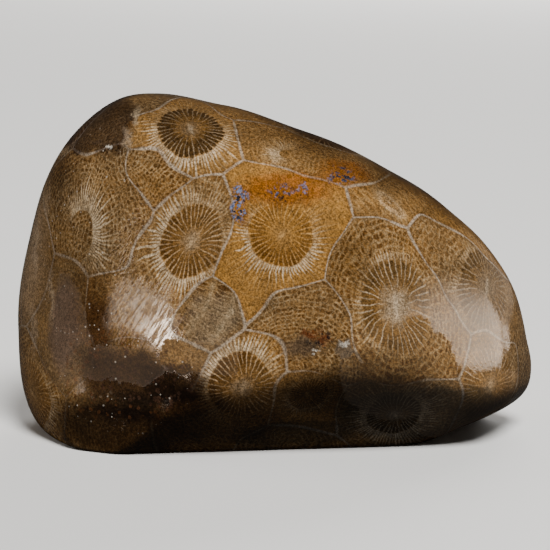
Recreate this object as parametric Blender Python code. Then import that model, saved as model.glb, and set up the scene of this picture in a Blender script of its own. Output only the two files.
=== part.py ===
"""A polished fossil coral head: one palm-sized stone, ground flat underneath so that it stands.

Metres, +Z up. The origin is under the middle of the stone, on the flat that it rests on. +X runs
along its length to the pointed end, and -Y is the broad polished face.

The stone is a closed convex form. From a heart point inside it, each direction meets the surface
at a distance that blends an outline seen from the front, the stone's depth, and the broad facets
that the polishing wheel left.
"""

import math

import bmesh
import bpy
from mathutils import Vector

MM = 0.001

# Driving dimensions, in millimetres. The depths and the height are measured from the heart.
LENGTH = 66.0
FRONT_DEPTH = 18.6
BACK_DEPTH = 17.4
HEART_HEIGHT = 16.3

# How far the outline below leans back from upright.
LEAN_DEG = 10.0

# The outline of the stone seen from the front and LEAN_DEG above, counter-clockwise from its
# pointed end, in millimetres to the right of the heart and above it. The facets take a little
# off it where they meet. The finished stone is scaled to LENGTH, by under one per cent.
OUTLINE = (
    (38.2, -8.6),
    (36.3, -4.9),
    (33.3, 1.8),
    (29.2, 7.2),
    (23.8, 12.0),
    (15.9, 17.2),
    (5.8, 21.6),
    (-4.5, 25.1),
    (-11.9, 26.3),
    (-17.4, 25.6),
    (-22.6, 22.0),
    (-27.0, 15.4),
    (-29.9, 7.0),
    (-31.2, -3.4),
    (-30.6, -10.6),
    (-27.6, -16.4),
    (-23.6, -20.6),
    (-8.0, -22.6),
    (8.0, -23.0),
    (20.0, -22.0),
    (29.2, -18.6),
    (35.9, -14.0),
)

# How squarely the faces meet: the higher, the tighter the turn between them.
BODY_SQUARENESS = 2.9
FACET_SQUARENESS = 20.0

# Broad facets: the way each one faces, as x, y and z, and its distance from the heart.
FACETS = {
    "front": ((0.02, -0.975, 0.22), 17.7),
    "front right": ((0.42, -0.88, 0.22), 22.3),
    "right": ((0.90, -0.42, 0.10), 32.0),
    "front left": ((-0.38, -0.92, 0.12), 19.9),
    "left": ((-0.80, -0.58, 0.10), 25.2),
    "lower front": ((0.10, -0.84, -0.535), 19.9),
    "right undercut": ((0.42, -0.28, -0.86), 25.6),
    "back": ((-0.10, 0.97, 0.18), 17.2),
    "back right": ((0.70, 0.70, 0.10), 25.2),
    "lower back": ((0.05, 0.72, -0.69), 20.6),
    "upper back": ((0.25, 0.52, 0.81), 22.4),
    "underside": ((0.0, 0.0, -1.0), 17.3),
}

SPHERE_SUBDIVISIONS = 5

# Shallow hollows where the soft matrix wore away under the wheel: the way to each one from the
# heart, its radius and its depth.
HOLLOWS = (
    ((-0.84, -0.48, -0.24), 3.6, 0.40),
    ((-0.45, -0.81, -0.38), 2.8, 0.30),
    ((0.44, -0.89, -0.13), 2.0, 0.22),
    ((-0.72, 0.66, 0.20), 3.4, 0.40),
)

# The slight unevenness that the wheel left, as waves: each one's turn in radians per millimetre
# along x, y and z from the heart, where it starts, and its height.
POLISH_WAVES = (
    ((0.31, 0.12, 0.22), 0.4, 0.07),
    ((-0.18, 0.27, 0.36), 1.9, 0.06),
    ((0.45, -0.22, -0.28), 3.1, 0.045),
    ((0.12, 0.48, -0.41), 5.2, 0.04),
)

CUT_TOLERANCE = 1e-4
SHARP_EDGE_DEG = 35.0

STONE_COLOUR = (0.30, 0.19, 0.085, 1.0)
STONE_ROUGHNESS = 0.22


def clear_scene():
    """Empties the scene that Blender starts with."""
    for obj in list(bpy.data.objects):
        bpy.data.objects.remove(obj, do_unlink=True)


def polar_outline():
    """The outline as (angle, radius) pairs round the heart, by rising angle."""
    return sorted((math.atan2(up, right), math.hypot(right, up)) for right, up in OUTLINE)


POLAR_OUTLINE = polar_outline()


def outline_radius(angle):
    """Radius of the outline at an angle, on a smooth closed curve through its points."""
    count = len(POLAR_OUTLINE)
    after = next((i for i, (a, _) in enumerate(POLAR_OUTLINE) if a > angle), count)
    knots = []
    for index in range(after - 2, after + 2):
        turn = 2 * math.pi * (index // count)
        knot_angle, radius = POLAR_OUTLINE[index % count]
        knots.append((knot_angle + turn, radius))
    (a0, r0), (a1, r1), (a2, r2), (a3, r3) = knots
    span = a2 - a1
    t = (angle - a1) / span
    slope_in = (r2 - r0) / (a2 - a0) * span
    slope_out = (r3 - r1) / (a3 - a1) * span
    return (
        (2 * t**3 - 3 * t**2 + 1) * r1
        + (t**3 - 2 * t**2 + t) * slope_in
        + (3 * t**2 - 2 * t**3) * r2
        + (t**3 - t**2) * slope_out
    )


def surface_distance(way):
    """Distance in millimetres from the heart to the surface, along a unit vector."""
    lean = math.radians(LEAN_DEG)
    right = way.x
    up = way.y * math.sin(lean) + way.z * math.cos(lean)
    toward = -way.y * math.cos(lean) + way.z * math.sin(lean)
    rim = math.hypot(right, up) / outline_radius(math.atan2(up, right))
    bulge = abs(toward) / (FRONT_DEPTH if toward > 0 else BACK_DEPTH)
    body = (rim**BODY_SQUARENESS + bulge**BODY_SQUARENESS) ** (1 / BODY_SQUARENESS)
    total = body**FACET_SQUARENESS
    for facing, distance in FACETS.values():
        reach = Vector(facing).normalized().dot(way) / distance
        total += max(0.0, reach) ** FACET_SQUARENESS
    return total ** (-1 / FACET_SQUARENESS)


def hollow_depth(way, distance):
    """How far the worn hollows sink the surface at this place, in millimetres."""
    sunk = 0.0
    for towards, radius, depth in HOLLOWS:
        away = distance * way.angle(Vector(towards)) / radius
        if away < 1.0:
            sunk += depth * (1 - away**2) ** 2
    return sunk


def polish_waver(place):
    """The wheel's slight unevenness at a place, in millimetres."""
    return sum(
        depth * math.sin(place.dot(Vector(across)) + shift) for across, shift, depth in POLISH_WAVES
    )


def stone_mesh():
    """The stone's closed mesh: a ball drawn out to the surface, cut flat and set on the flat."""
    form = bmesh.new()
    bmesh.ops.create_icosphere(form, subdivisions=SPHERE_SUBDIVISIONS, radius=1.0)
    heart = Vector((0.0, 0.0, HEART_HEIGHT))
    for vertex in form.verts:
        way = vertex.co.normalized()
        distance = surface_distance(way)
        distance -= hollow_depth(way, distance)
        distance += polish_waver(way * distance)
        vertex.co = heart + way * distance
    cut = bmesh.ops.bisect_plane(
        form,
        geom=form.verts[:] + form.edges[:] + form.faces[:],
        dist=CUT_TOLERANCE,
        plane_co=(0, 0, 0),
        plane_no=(0, 0, -1),
        clear_outer=True,
    )
    rim = [item for item in cut["geom_cut"] if isinstance(item, bmesh.types.BMEdge)]
    bmesh.ops.contextual_create(form, geom=rim)
    bmesh.ops.recalc_face_normals(form, faces=form.faces)
    low_x, high_x = (pick(v.co.x for v in form.verts) for pick in (min, max))
    low_y, high_y = (pick(v.co.y for v in form.verts) for pick in (min, max))
    middle = Vector(((low_x + high_x) / 2, (low_y + high_y) / 2, 0.0))
    scale = MM * LENGTH / (high_x - low_x)
    for vertex in form.verts:
        vertex.co = (vertex.co - middle) * scale
    mesh = bpy.data.meshes.new("coral_head")
    form.to_mesh(mesh)
    form.free()
    mesh.shade_smooth()
    mesh.set_sharp_from_angle(angle=math.radians(SHARP_EDGE_DEG))
    return mesh


def stone_material():
    """Amber-brown calcite with a low polish."""
    material = bpy.data.materials.new("polished_coral")
    material.use_nodes = True
    shader = material.node_tree.nodes["Principled BSDF"]
    shader.inputs["Base Color"].default_value = STONE_COLOUR
    shader.inputs["Roughness"].default_value = STONE_ROUGHNESS
    shader.inputs["Metallic"].default_value = 0.0
    return material


def main():
    """Builds the coral head."""
    clear_scene()
    mesh = stone_mesh()
    mesh.materials.append(stone_material())
    stone = bpy.data.objects.new("coral_head", mesh)
    bpy.context.scene.collection.objects.link(stone)


main()
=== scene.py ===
"""Looks of the polished fossil coral head: its fine surface, its corallites and its studio.

The stone is one piece. Its form is a smooth cobble ground flat underneath. Its colony is a set of
corallites, each one a star of septa in a net of small pores, fenced from its neighbours by pale
walls. Every corallite has its own centre, so the stars and walls wrap round the whole stone.
Forms are worked out in millimetres and handed over in metres.
"""

import logging
import math
from collections.abc import Iterable
from dataclasses import dataclass, field
from enum import Enum

import bpy
import numpy as np
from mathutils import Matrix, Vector


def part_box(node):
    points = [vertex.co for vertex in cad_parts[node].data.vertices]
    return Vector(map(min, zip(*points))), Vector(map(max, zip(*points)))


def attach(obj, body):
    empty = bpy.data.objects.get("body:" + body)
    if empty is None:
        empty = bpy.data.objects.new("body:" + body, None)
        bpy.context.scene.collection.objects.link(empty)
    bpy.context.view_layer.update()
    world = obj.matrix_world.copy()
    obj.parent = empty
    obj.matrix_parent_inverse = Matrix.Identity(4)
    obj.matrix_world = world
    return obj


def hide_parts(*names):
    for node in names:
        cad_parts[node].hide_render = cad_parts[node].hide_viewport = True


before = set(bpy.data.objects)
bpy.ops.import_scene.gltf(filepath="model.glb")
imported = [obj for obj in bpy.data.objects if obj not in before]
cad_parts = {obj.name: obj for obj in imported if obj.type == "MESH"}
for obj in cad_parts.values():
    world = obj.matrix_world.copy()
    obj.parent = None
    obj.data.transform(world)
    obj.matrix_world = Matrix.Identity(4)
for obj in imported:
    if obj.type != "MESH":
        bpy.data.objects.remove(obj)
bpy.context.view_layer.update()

LOG = logging.getLogger("coral_head")
Array = np.ndarray
Triple = tuple[float, float, float]
Pair = tuple[float, float]
Socket = bpy.types.NodeSocket
Outputs = bpy.types.NodeOutputs
Feed = Socket | float | tuple | Vector

NODE = "coral_head"
BODY = "root"
MM = 0.001
TURN = 2 * math.pi


def tint(red: float, green: float, blue: float) -> tuple[float, float, float, float]:
    """Turns a colour as a screen shows it into the linear colour that a shader takes.

    Args:
        red: Red, from 0 to 255.
        green: Green, from 0 to 255.
        blue: Blue, from 0 to 255.

    Returns:
        The linear colour with full alpha.
    """
    shares = (channel / 255 for channel in (red, green, blue))
    linear = (s / 12.92 if s <= 0.04045 else ((s + 0.055) / 1.055) ** 2.4 for s in shares)
    return (*linear, 1.0)


def unit(vectors: Array) -> Array:
    """Scales each vector in an array to length 1."""
    return vectors / np.linalg.norm(vectors, axis=-1, keepdims=True)


def show(name: str, data: bpy.types.ID) -> bpy.types.Object:
    """Puts a mesh, a light or a camera in the scene.

    Args:
        name: The object's name.
        data: The mesh, light or camera.

    Returns:
        The object.
    """
    thing = bpy.data.objects.new(name, data)
    bpy.context.scene.collection.objects.link(thing)
    return thing


@dataclass(frozen=True)
class Sight:
    """The eye that looks at the broad face from a little above, in millimetres and degrees.

    Places on the face are given as it sees them: millimetres to the right of and above the
    middle of its view, on a plane through the aim.

    Attributes:
        aim: The place in the middle of its view.
        distance: How far it is from there.
        elevation_deg: How far above the level it looks from.
        lens: The focal length that it sees with.
        least_facing: How much a face has to turn toward it to be seen, as a cosine.
    """

    aim: Triple = (0.18, 0.0, 19.95)
    distance: float = 291.2
    elevation_deg: float = 10.0
    lens: float = 150.0
    least_facing: float = 0.02

    def axes(self) -> tuple[Array, Array, Array]:
        """Finds the view's axes.

        Returns:
            The ways right, up and toward the eye.
        """
        rise = math.radians(self.elevation_deg)
        right = np.array((1.0, 0.0, 0.0))
        up = np.array((0.0, math.sin(rise), math.cos(rise)))
        toward = np.array((0.0, -math.cos(rise), math.sin(rise)))
        return right, up, toward

    def flatten(self, points: Array) -> Array:
        """Sees points as the eye does.

        Args:
            points: Points in millimetres, one a row.

        Returns:
            Their places right and up on the aim's plane.
        """
        right, up, toward = self.axes()
        offset = points - np.array(self.aim)
        spread = self.distance / (self.distance - offset @ toward)
        return np.stack((offset @ right * spread, offset @ up * spread), axis=-1)

    def nearest(self, spots: Array, points: Array, normals: Array) -> Array:
        """Finds the points in sight that are nearest to spots in the view.

        Args:
            spots: Spots right and up in the view, one a row.
            points: The surface's points, in millimetres.
            normals: The way that the surface faces at each one.

        Returns:
            The row of each spot's point.
        """
        in_sight = np.flatnonzero(normals @ self.axes()[2] > self.least_facing)
        seen = self.flatten(points[in_sight])
        gaps = [np.linalg.norm(seen - spot, axis=-1).argmin() for spot in spots]
        return in_sight[gaps]


@dataclass(frozen=True)
class StoneForm:
    """The stone's surface, in millimetres from a heart point inside it.

    Each direction from the heart meets the surface at a distance that blends an outline, the
    stone's depth, the broad facets that the polishing wheel left, and the flat underneath.

    Attributes:
        front_depth: How far the front is from the heart.
        back_depth: How far the back is from the heart.
        heart_height: How high the heart is above the flat underneath.
        lean_deg: How far the outline leans back from upright.
        body_squareness: How squarely the faces meet: the higher, the tighter the turn.
        facet_squareness: The same for the broad facets.
        flat_squareness: The same for the edge of the flat underneath.
        outline: The stone's outline from the front, right of and above the heart.
        facets: The way each broad facet faces, and its distance from the heart.
        crisp_facets: The same for crisper facets, each with its own squareness.
        hollows: The way to each shallow hollow, its radius and its depth.
        polish_waves: How fast each slow wave of the polish turns along x, y and z, in radians,
            where it starts and how deep it is.
    """

    front_depth: float = 18.6
    back_depth: float = 17.4
    heart_height: float = 16.3
    lean_deg: float = 10.0
    body_squareness: float = 2.9
    facet_squareness: float = 20.0
    flat_squareness: float = 110.0
    outline: tuple[Pair, ...] = (
        (38.2, -8.6), (36.3, -4.9), (33.3, 1.8), (29.2, 7.2), (23.8, 12.0), (15.9, 17.2),
        (5.8, 21.6), (-4.5, 25.1), (-11.9, 26.3), (-17.4, 25.6), (-22.6, 22.0), (-27.0, 15.4),
        (-29.9, 7.0), (-31.2, -3.4), (-30.6, -10.6), (-27.6, -16.4), (-23.6, -20.6),
        (-8.0, -22.6), (8.0, -23.0), (20.0, -22.0), (29.2, -18.6), (35.9, -14.0),
    )
    facets: tuple[tuple[Triple, float], ...] = (
        ((0.02, -0.975, 0.22), 17.7),
        ((0.42, -0.88, 0.22), 22.3),
        ((0.90, -0.42, 0.10), 32.0),
        ((-0.38, -0.92, 0.145), 19.9),
        ((-0.80, -0.58, 0.10), 25.2),
        ((0.42, -0.28, -0.86), 25.6),
        ((-0.10, 0.97, 0.18), 17.2),
        ((0.70, 0.70, 0.10), 25.2),
        ((0.05, 0.72, -0.69), 20.6),
        ((0.25, 0.52, 0.81), 22.4),
        ((0.0, 0.0, -1.0), 17.3),
    )
    crisp_facets: tuple[tuple[Triple, float, float], ...] = (
        ((0.10, -0.84, -0.535), 19.5, 42.0),
        ((-0.40, -0.91, 0.0), 20.47, 190.0),
    )
    hollows: tuple[tuple[Triple, float, float], ...] = (
        ((-0.84, -0.48, -0.24), 3.6, 0.40),
        ((-0.45, -0.81, -0.38), 2.8, 0.30),
        ((0.44, -0.89, -0.13), 2.0, 0.22),
        ((-0.72, 0.66, 0.20), 3.4, 0.40),
    )
    polish_waves: tuple[tuple[Triple, float, float], ...] = (
        ((0.31, 0.12, 0.22), 0.4, 0.07),
        ((-0.18, 0.27, 0.36), 1.9, 0.06),
        ((0.45, -0.22, -0.28), 3.1, 0.045),
        ((0.12, 0.48, -0.41), 5.2, 0.04),
    )

    def outline_radius(self, angles: Array) -> Array:
        """Finds the outline's radius, on a smooth closed curve through its points.

        Args:
            angles: The angles, counter-clockwise from the right, in radians.

        Returns:
            The radius at each one.
        """
        polar = sorted((math.atan2(up, right), math.hypot(right, up))
                       for right, up in self.outline)
        angle, radius = np.array(polar).T
        angle = np.concatenate((angle[-2:] - TURN, angle, angle[:2] + TURN))
        radius = np.concatenate((radius[-2:], radius, radius[:2]))
        first = np.searchsorted(angle[2:-2], angles, side="right")
        a0, a1, a2, a3 = (angle[first + step] for step in range(4))
        r0, r1, r2, r3 = (radius[first + step] for step in range(4))
        t = (angles - a1) / (a2 - a1)
        slope_in = (r2 - r0) / (a2 - a0) * (a2 - a1)
        slope_out = (r3 - r1) / (a3 - a1) * (a2 - a1)
        return (
            (2 * t**3 - 3 * t**2 + 1) * r1
            + (t**3 - 2 * t**2 + t) * slope_in
            + (3 * t**2 - 2 * t**3) * r2
            + (t**3 - t**2) * slope_out
        )

    @staticmethod
    def _cut(distance: Array, facing: Array, depth: float, squareness: float) -> Array:
        """Cuts a flat face into the surface.

        Args:
            distance: The surface's distance from the heart each way.
            facing: How much each way points at the face, as a cosine.
            depth: The face's own distance from the heart.
            squareness: How crisp its edge is.

        Returns:
            The new distance each way.
        """
        face = depth / np.maximum(facing, 1e-6)
        return (distance**-squareness + face**-squareness) ** (-1 / squareness)

    def surface(self, ways: Array) -> Array:
        """Finds the surface.

        Args:
            ways: Unit vectors from the heart, one a row.

        Returns:
            The surface point along each one, in millimetres above the flat.
        """
        lean = math.radians(self.lean_deg)
        right = ways[:, 0]
        up = ways[:, 1] * math.sin(lean) + ways[:, 2] * math.cos(lean)
        toward = -ways[:, 1] * math.cos(lean) + ways[:, 2] * math.sin(lean)
        rim = np.hypot(right, up) / self.outline_radius(np.arctan2(up, right))
        bulge = np.abs(toward) / np.where(toward > 0, self.front_depth, self.back_depth)
        total = (rim**self.body_squareness + bulge**self.body_squareness) ** (
            self.facet_squareness / self.body_squareness
        )
        for facing, distance in self.facets:
            reach = ways @ unit(np.array(facing)) / distance
            total += np.maximum(reach, 0.0) ** self.facet_squareness
        distance = total ** (-1 / self.facet_squareness)
        for facing, depth, squareness in self.crisp_facets:
            distance = self._cut(distance, ways @ unit(np.array(facing)), depth, squareness)
        for way, radius, depth in self.hollows:
            turned = np.arccos(np.clip(ways @ unit(np.array(way)), -1.0, 1.0))
            away = np.minimum(distance * turned / radius, 1.0)
            distance = distance - depth * (1 - away**2) ** 2
        place = ways * distance[:, None]
        for rate, start, depth in self.polish_waves:
            distance = distance + depth * np.sin(place @ np.array(rate) + start)
        distance = self._cut(distance, -ways[:, 2], self.heart_height, self.flat_squareness)
        points = ways * distance[:, None] + np.array((0.0, 0.0, self.heart_height))
        points[:, 2] = np.maximum(points[:, 2], 0.0)
        return points


@dataclass(frozen=True)
class BoxSkin:
    """A box whose skin is ruled into quads, to be drawn out to the stone's surface.

    Attributes:
        half: Half its length, depth and height, in millimetres.
        middle: Its middle from the heart, in millimetres.
        steps: How many quads it has along x, y and z.
        sheet: The side of the texture sheet that its sides are laid out on, in millimetres.
        gap: The gap between them on the sheet, in millimetres.
    """

    half: Triple = (33.0, 18.0, 21.5)
    middle: Triple = (0.0, 0.0, 5.2)
    steps: tuple[int, int, int] = (166, 96, 112)
    sheet: float = 138.0
    gap: float = 1.5

    def points(self) -> tuple[Array, Array]:
        """Sets out the lattice's skin points.

        Returns:
            The points from the heart, one a row, and each lattice point's row, or -1 inside.
        """
        grids = np.meshgrid(*(np.arange(count + 1) for count in self.steps), indexing="ij")
        on_skin = np.zeros(grids[0].shape, dtype=bool)
        for grid, count in zip(grids, self.steps):
            on_skin |= (grid == 0) | (grid == count)
        rows = np.full(on_skin.shape, -1)
        rows[on_skin] = np.arange(on_skin.sum())
        shares = [2 * grid[on_skin] / count - 1 for grid, count in zip(grids, self.steps)]
        points = np.stack(shares, axis=-1) * np.array(self.half) + np.array(self.middle)
        return points, rows

    def quads(self, rows: Array) -> tuple[Array, Array]:
        """Rules each side of the box into quads, wound to face outward.

        Args:
            rows: Each lattice point's row.

        Returns:
            Each quad's four rows, and its corners' places on the texture sheet.
        """
        all_quads, all_places = [], []
        wide, deep, high = (2 * half + self.gap for half in self.half)
        starts = {
            (1, 0): (0.0, 0.0), (1, 1): (wide, 0.0),
            (2, 0): (0.0, high), (2, 1): (wide, high),
            (0, 0): (0.0, high + deep), (0, 1): (deep, high + deep),
        }
        for (axis, end), start in starts.items():
            across, along = ((axis + 1) % 3, (axis + 2) % 3)
            if axis == 1:
                across, along = along, across
            i, j = np.meshgrid(
                np.arange(self.steps[across]), np.arange(self.steps[along]), indexing="ij"
            )
            corners, places = [], []
            for step_i, step_j in ((0, 0), (1, 0), (1, 1), (0, 1)):
                index = [None, None, None]
                index[axis] = np.full(i.shape, end * self.steps[axis])
                index[across] = i + step_i
                index[along] = j + step_j
                corners.append(rows[tuple(index)])
                u = start[0] + self.gap + (i + step_i) / self.steps[across] * 2 * self.half[across]
                v = start[1] + self.gap + (j + step_j) / self.steps[along] * 2 * self.half[along]
                places.append(np.stack((u, v), axis=-1) / self.sheet)
            faces_out = (end == 1) != (axis == 1)
            order = (0, 1, 2, 3) if faces_out else (0, 3, 2, 1)
            all_quads.append(np.stack([corners[k] for k in order], axis=-1).reshape(-1, 4))
            all_places.append(np.stack([places[k] for k in order], axis=-2).reshape(-1, 4, 2))
        return np.concatenate(all_quads), np.concatenate(all_places)


@dataclass(frozen=True)
class Calice:
    """How one corallite's calice and its surroundings look.

    Attributes:
        width: Half width of its eye, in millimetres.
        height: Half height of its eye, in millimetres.
        turn_deg: How far the eye and its streak are turned, counter-clockwise.
        depth: How dark the gaps in its eye are, from 0 to 1.
        lines: How plainly the septa show inside the eye, from 0 to 1.
        flare: How white the ends of its septa are, from 0 to 1.
        reach: How far its septa run out, in widths of the eye.
        core: How wide its meshy core is, in widths of the eye.
        pale: How pale and grey its eye is, from 0 to 1.
        lit_deg: The side where its septa flare most, counter-clockwise from the right.
        lopsided: How much more they flare there, from 0 to 1.
        pores: How strongly the net of pores round it shows, from 0 to 1.
        amber: How warm it is, from 0, grey brown, to 1, amber.
        row: How far apart the net's rows are, in millimetres.
        dash: How long a pore is along its row, in millimetres.
    """

    width: float = 4.1
    height: float = 4.1
    turn_deg: float = 0.0
    depth: float = 0.6
    lines: float = 0.8
    flare: float = 0.7
    reach: float = 1.5
    core: float = 0.4
    pale: float = 0.0
    lit_deg: float = -90.0
    lopsided: float = 0.3
    pores: float = 0.6
    amber: float = 0.5
    row: float = 0.6
    dash: float = 0.68


@dataclass(frozen=True)
class Corallite:
    """One corallite of the broad face, in millimetres as the sight sees it.

    Attributes:
        name: A word for it.
        eye: The middle of its calice.
        lobes: The points whose surroundings it holds against its neighbours.
        calice: How its calice looks.
        facing: The way its tube points, or None where it meets the surface squarely.
    """

    name: str
    eye: Pair
    lobes: tuple[Pair, ...]
    calice: Calice = Calice()
    facing: Triple | None = None


def bare(pores: float = 0.7, amber: float = 0.4, row: float = 0.6,
         dash: float = 0.68) -> Calice:
    """A calice that doesn't show: only its net does.

    Args:
        pores: How strongly its net of pores shows, from 0 to 1.
        amber: How warm it is, from 0 to 1.
        row: How far apart the net's rows are, in millimetres.
        dash: How long a pore is along its row, in millimetres.

    Returns:
        The calice.
    """
    return Calice(width=1.2, height=1.2, depth=0.0, flare=0.0, reach=0.4, core=0.0, pores=pores,
                  amber=amber, row=row, dash=dash)


BROAD_FACE = (
    Corallite(
        "crown", (-10.8, 18.6),
        ((-10.8, 18.6), (-16.2, 18.4), (-12.1, 16.1), (-7.6, 15.9), (-6.7, 17.2), (-11.1, 13.9),
         (-10.8, 20.7)),
        Calice(width=4.2, height=4.0, turn_deg=32, depth=1.5, lines=0.45, flare=0.8, reach=1.75,
               core=0.3, pale=0.8, lit_deg=-110, lopsided=0.5, pores=0.3, amber=0.75),
    ),
    Corallite("grey cap", (-21.2, 18.4), ((-21.2, 18.4), (-17.2, 22.1)), bare(0.35, 0.05)),
    Corallite("ridge", (-4.1, 20.7), ((-4.1, 20.7),), bare(0.5, 0.5)),
    Corallite(
        "wedge", (-19.9, 17.2), ((-15.2, 12.0), (-16.8, 13.6), (-12.1, 12.2)),
        bare(0.85, 0.45, 0.52, 0.5),
    ),
    Corallite(
        "fan", (-24.8, 4.9),
        ((-25.0, 5.5), (-18.6, 9.9), (-20.1, 5.7), (-21.2, 14.0), (-21.6, 2.5), (-25.6, 10.6)),
        Calice(width=2.2, height=3.4, turn_deg=-12, depth=0.0, lines=0.3, flare=0.5, reach=2.5,
               core=0.0, pale=0.4, lit_deg=38, lopsided=1.5, pores=0.8, amber=0.3, row=0.5,
               dash=0.5),
        facing=(-0.35, -0.93, 0.1),
    ),
    Corallite(
        "oval", (-10.5, 4.4),
        ((-10.4, 5.1), (-11.7, 7.9), (-10.5, 10.3), (-7.8, 9.8), (-15.2, 3.2), (-12.6, -0.9),
         (-9.8, 6.7), (-10.0, 3.2), (-19.9, -3.2), (-20.7, -2.2), (-17.2, -5.1)),
        Calice(width=3.7, height=4.8, turn_deg=-16, depth=0.8, flare=1.0, reach=1.75, core=0.36,
               pale=0.45, lit_deg=205, lopsided=0.4, pores=0.6, amber=0.45, row=0.9, dash=0.5),
    ),
    Corallite(
        "amber star", (0.8, 5.1),
        ((0.8, 5.1), (-3.8, 10.8), (-1.7, 6.7), (-5.2, 1.0), (-3.2, -3.6), (0.1, 11.3), (5.8, 8.9),
         (-2.5, 11.6), (6.0, 7.5), (3.6, 2.2), (2.3, 0.9), (7.5, 9.1)),
        Calice(width=4.0, height=4.0, turn_deg=-38, depth=0.7, flare=0.9, reach=1.5, core=0.4,
               lit_deg=-105, lopsided=0.66, pores=0.2, amber=1.0, row=0.8, dash=0.55),
    ),
    Corallite(
        "torn fan", (1.6, 15.4),
        ((1.7, 15.6), (7.2, 14.0), (-2.5, 16.8), (-1.5, 16.9), (9.8, 13.3)),
        Calice(width=0.9, height=0.7, depth=0.05, lines=0.3, flare=0.7, reach=3.8, core=0.3,
               lit_deg=165, lopsided=0.9, pores=0.5, amber=0.5),
    ),
    Corallite(
        "slit", (14.7, 9.1),
        ((15.4, 9.0), (11.6, 9.3), (20.6, 8.3), (23.8, 6.2), (26.2, 3.9)),
        Calice(width=0.9, height=2.2, turn_deg=42, depth=0.5, flare=0.6, reach=1.3, core=0.3,
               pale=0.4, pores=0.4, amber=0.5),
    ),
    Corallite(
        "great star", (15.5, -3.8),
        ((15.2, -2.5), (11.6, 5.5), (9.5, 0.6), (13.3, 3.8), (19.1, -2.5), (15.9, 2.5),
         (21.6, -6.7), (21.9, -9.4), (10.5, -2.0), (11.8, -7.2), (15.2, -8.9)),
        Calice(width=4.4, height=6.1, turn_deg=12, depth=0.62, lines=0.8, flare=0.5, reach=1.25,
               core=0.45, pale=0.85, lit_deg=150, lopsided=0.4, pores=0.85, amber=0.4),
    ),
    Corallite(
        "shoulder", (26.8, -1.4),
        ((27.1, -0.4), (19.7, 5.0), (22.9, -0.3), (25.5, -4.3), (29.1, -5.8), (31.9, -10.7),
         (22.2, 3.7), (24.5, 2.9)),
        Calice(width=4.2, height=5.4, depth=0.6, lines=0.4, flare=0.35, reach=1.35, core=0.45,
               pale=0.9, lit_deg=150, pores=0.6, amber=0.2),
    ),
    Corallite(
        "tip", (27.3, -14.2), ((27.3, -14.0), (26.6, -9.8), (29.6, -11.8), (25.8, -16.9)),
        Calice(width=4.2, height=4.2, depth=0.4, flare=0.4, reach=2.0, core=0.3, pale=0.4,
               pores=0.5, amber=0.4),
    ),
    Corallite(
        "arches", (2.7, -12.3),
        ((3.2, -6.4), (4.2, -3.6), (-0.6, -5.7), (6.0, -4.3), (7.0, -7.6), (2.7, -10.4),
         (7.6, -11.3)),
        bare(0.8, 0.3, 0.54, 0.66),
    ),
    Corallite(
        "sliver", (-18.5, 0.5), ((-8.9, -5.5), (-7.8, -4.3), (-6.5, -3.9), (-7.9, -6.0)),
        bare(0.95, 0.2, 2.6, 0.42),
    ),
    Corallite("buried", (-14.0, -12.0), ((-11.3, -11.3), (-17.2, -10.8)), bare(0.4, 0.3)),
    Corallite("left flank", (-27.3, -7.0), ((-26.2, -1.5), (-27.3, -7.0)), bare(0.4, 0.2)),
    Corallite("left edge", (-30.5, 1.9), ((-30.5, 1.9),), bare(0.5, 0.3)),
    Corallite(
        "low star", (-4.3, -14.2),
        ((-4.3, -14.2), (-4.7, -10.8), (-7.0, -14.0), (-1.7, -9.8), (-0.9, -10.5), (-2.0, -15.9),
         (-11.4, -19.1)),
        Calice(width=4.1, height=4.3, depth=0.8, flare=0.7, reach=1.75, core=0.3, pale=0.5,
               lit_deg=130, lopsided=0.8, pores=0.6, amber=0.5),
    ),
    Corallite(
        "bud", (3.9, -15.2),
        ((3.9, -15.2), (2.8, -14.2), (4.7, -15.2), (5.5, -16.5), (2.5, -15.9), (3.6, -16.5)),
        Calice(width=2.4, height=2.4, depth=0.5, flare=0.8, reach=1.5, core=0.3, pale=0.3,
               pores=0.2, amber=0.45),
    ),
    Corallite(
        "dark star", (15.2, -17.7), ((15.2, -17.7), (21.0, -16.5), (9.8, -16.5)),
        Calice(width=3.6, height=3.6, depth=0.9, flare=0.9, reach=1.9, core=0.3, pale=0.8,
               pores=0.5, amber=0.1),
    ),
    Corallite("lower edge", (2.5, -21.6), ((2.5, -21.6),), bare(0.6, 0.3)),
    Corallite("lower left", (-19.7, -19.1), ((-19.7, -19.1),), bare(0.5, 0.4)),
)


class Warp:
    """A smooth unevenness in space that keeps walls and stars from being ruler-straight."""

    def __init__(self, seed: int, waves: int = 6, depth: float = 0.42) -> None:
        """Draws the waves.

        Args:
            seed: Seed of the draw.
            waves: How many waves each axis has.
            depth: How far a point may be pushed, in millimetres.
        """
        draw = np.random.default_rng(seed)
        shortest, longest = 3.5, 11.0
        lengths = draw.uniform(shortest, longest, (3, waves, 1))
        self.across = unit(draw.normal(size=(3, waves, 3))) * 2 * math.pi / lengths
        self.shift = draw.uniform(0, TURN, (3, waves))
        self.depth = depth * lengths[:, :, 0] / lengths.sum(axis=1)

    def __call__(self, points: Array) -> Array:
        """Pushes points about, smoothly and by little.

        Args:
            points: The points, in millimetres.

        Returns:
            Where they are pushed to.
        """
        pushed = points.copy()
        for axis in range(3):
            waves = np.sin(points @ self.across[axis].T + self.shift[axis])
            pushed[:, axis] += waves @ self.depth[axis]
        return pushed


@dataclass
class Placed:
    """A corallite that stands on the stone.

    Attributes:
        centre: The middle of its calice, in millimetres.
        lobes: The points whose surroundings it holds, in millimetres.
        across: The way across its calice.
        along: The way along its calice.
        calice: How its calice looks.
    """

    centre: Array
    lobes: Array
    across: Array
    along: Array
    calice: Calice


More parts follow.
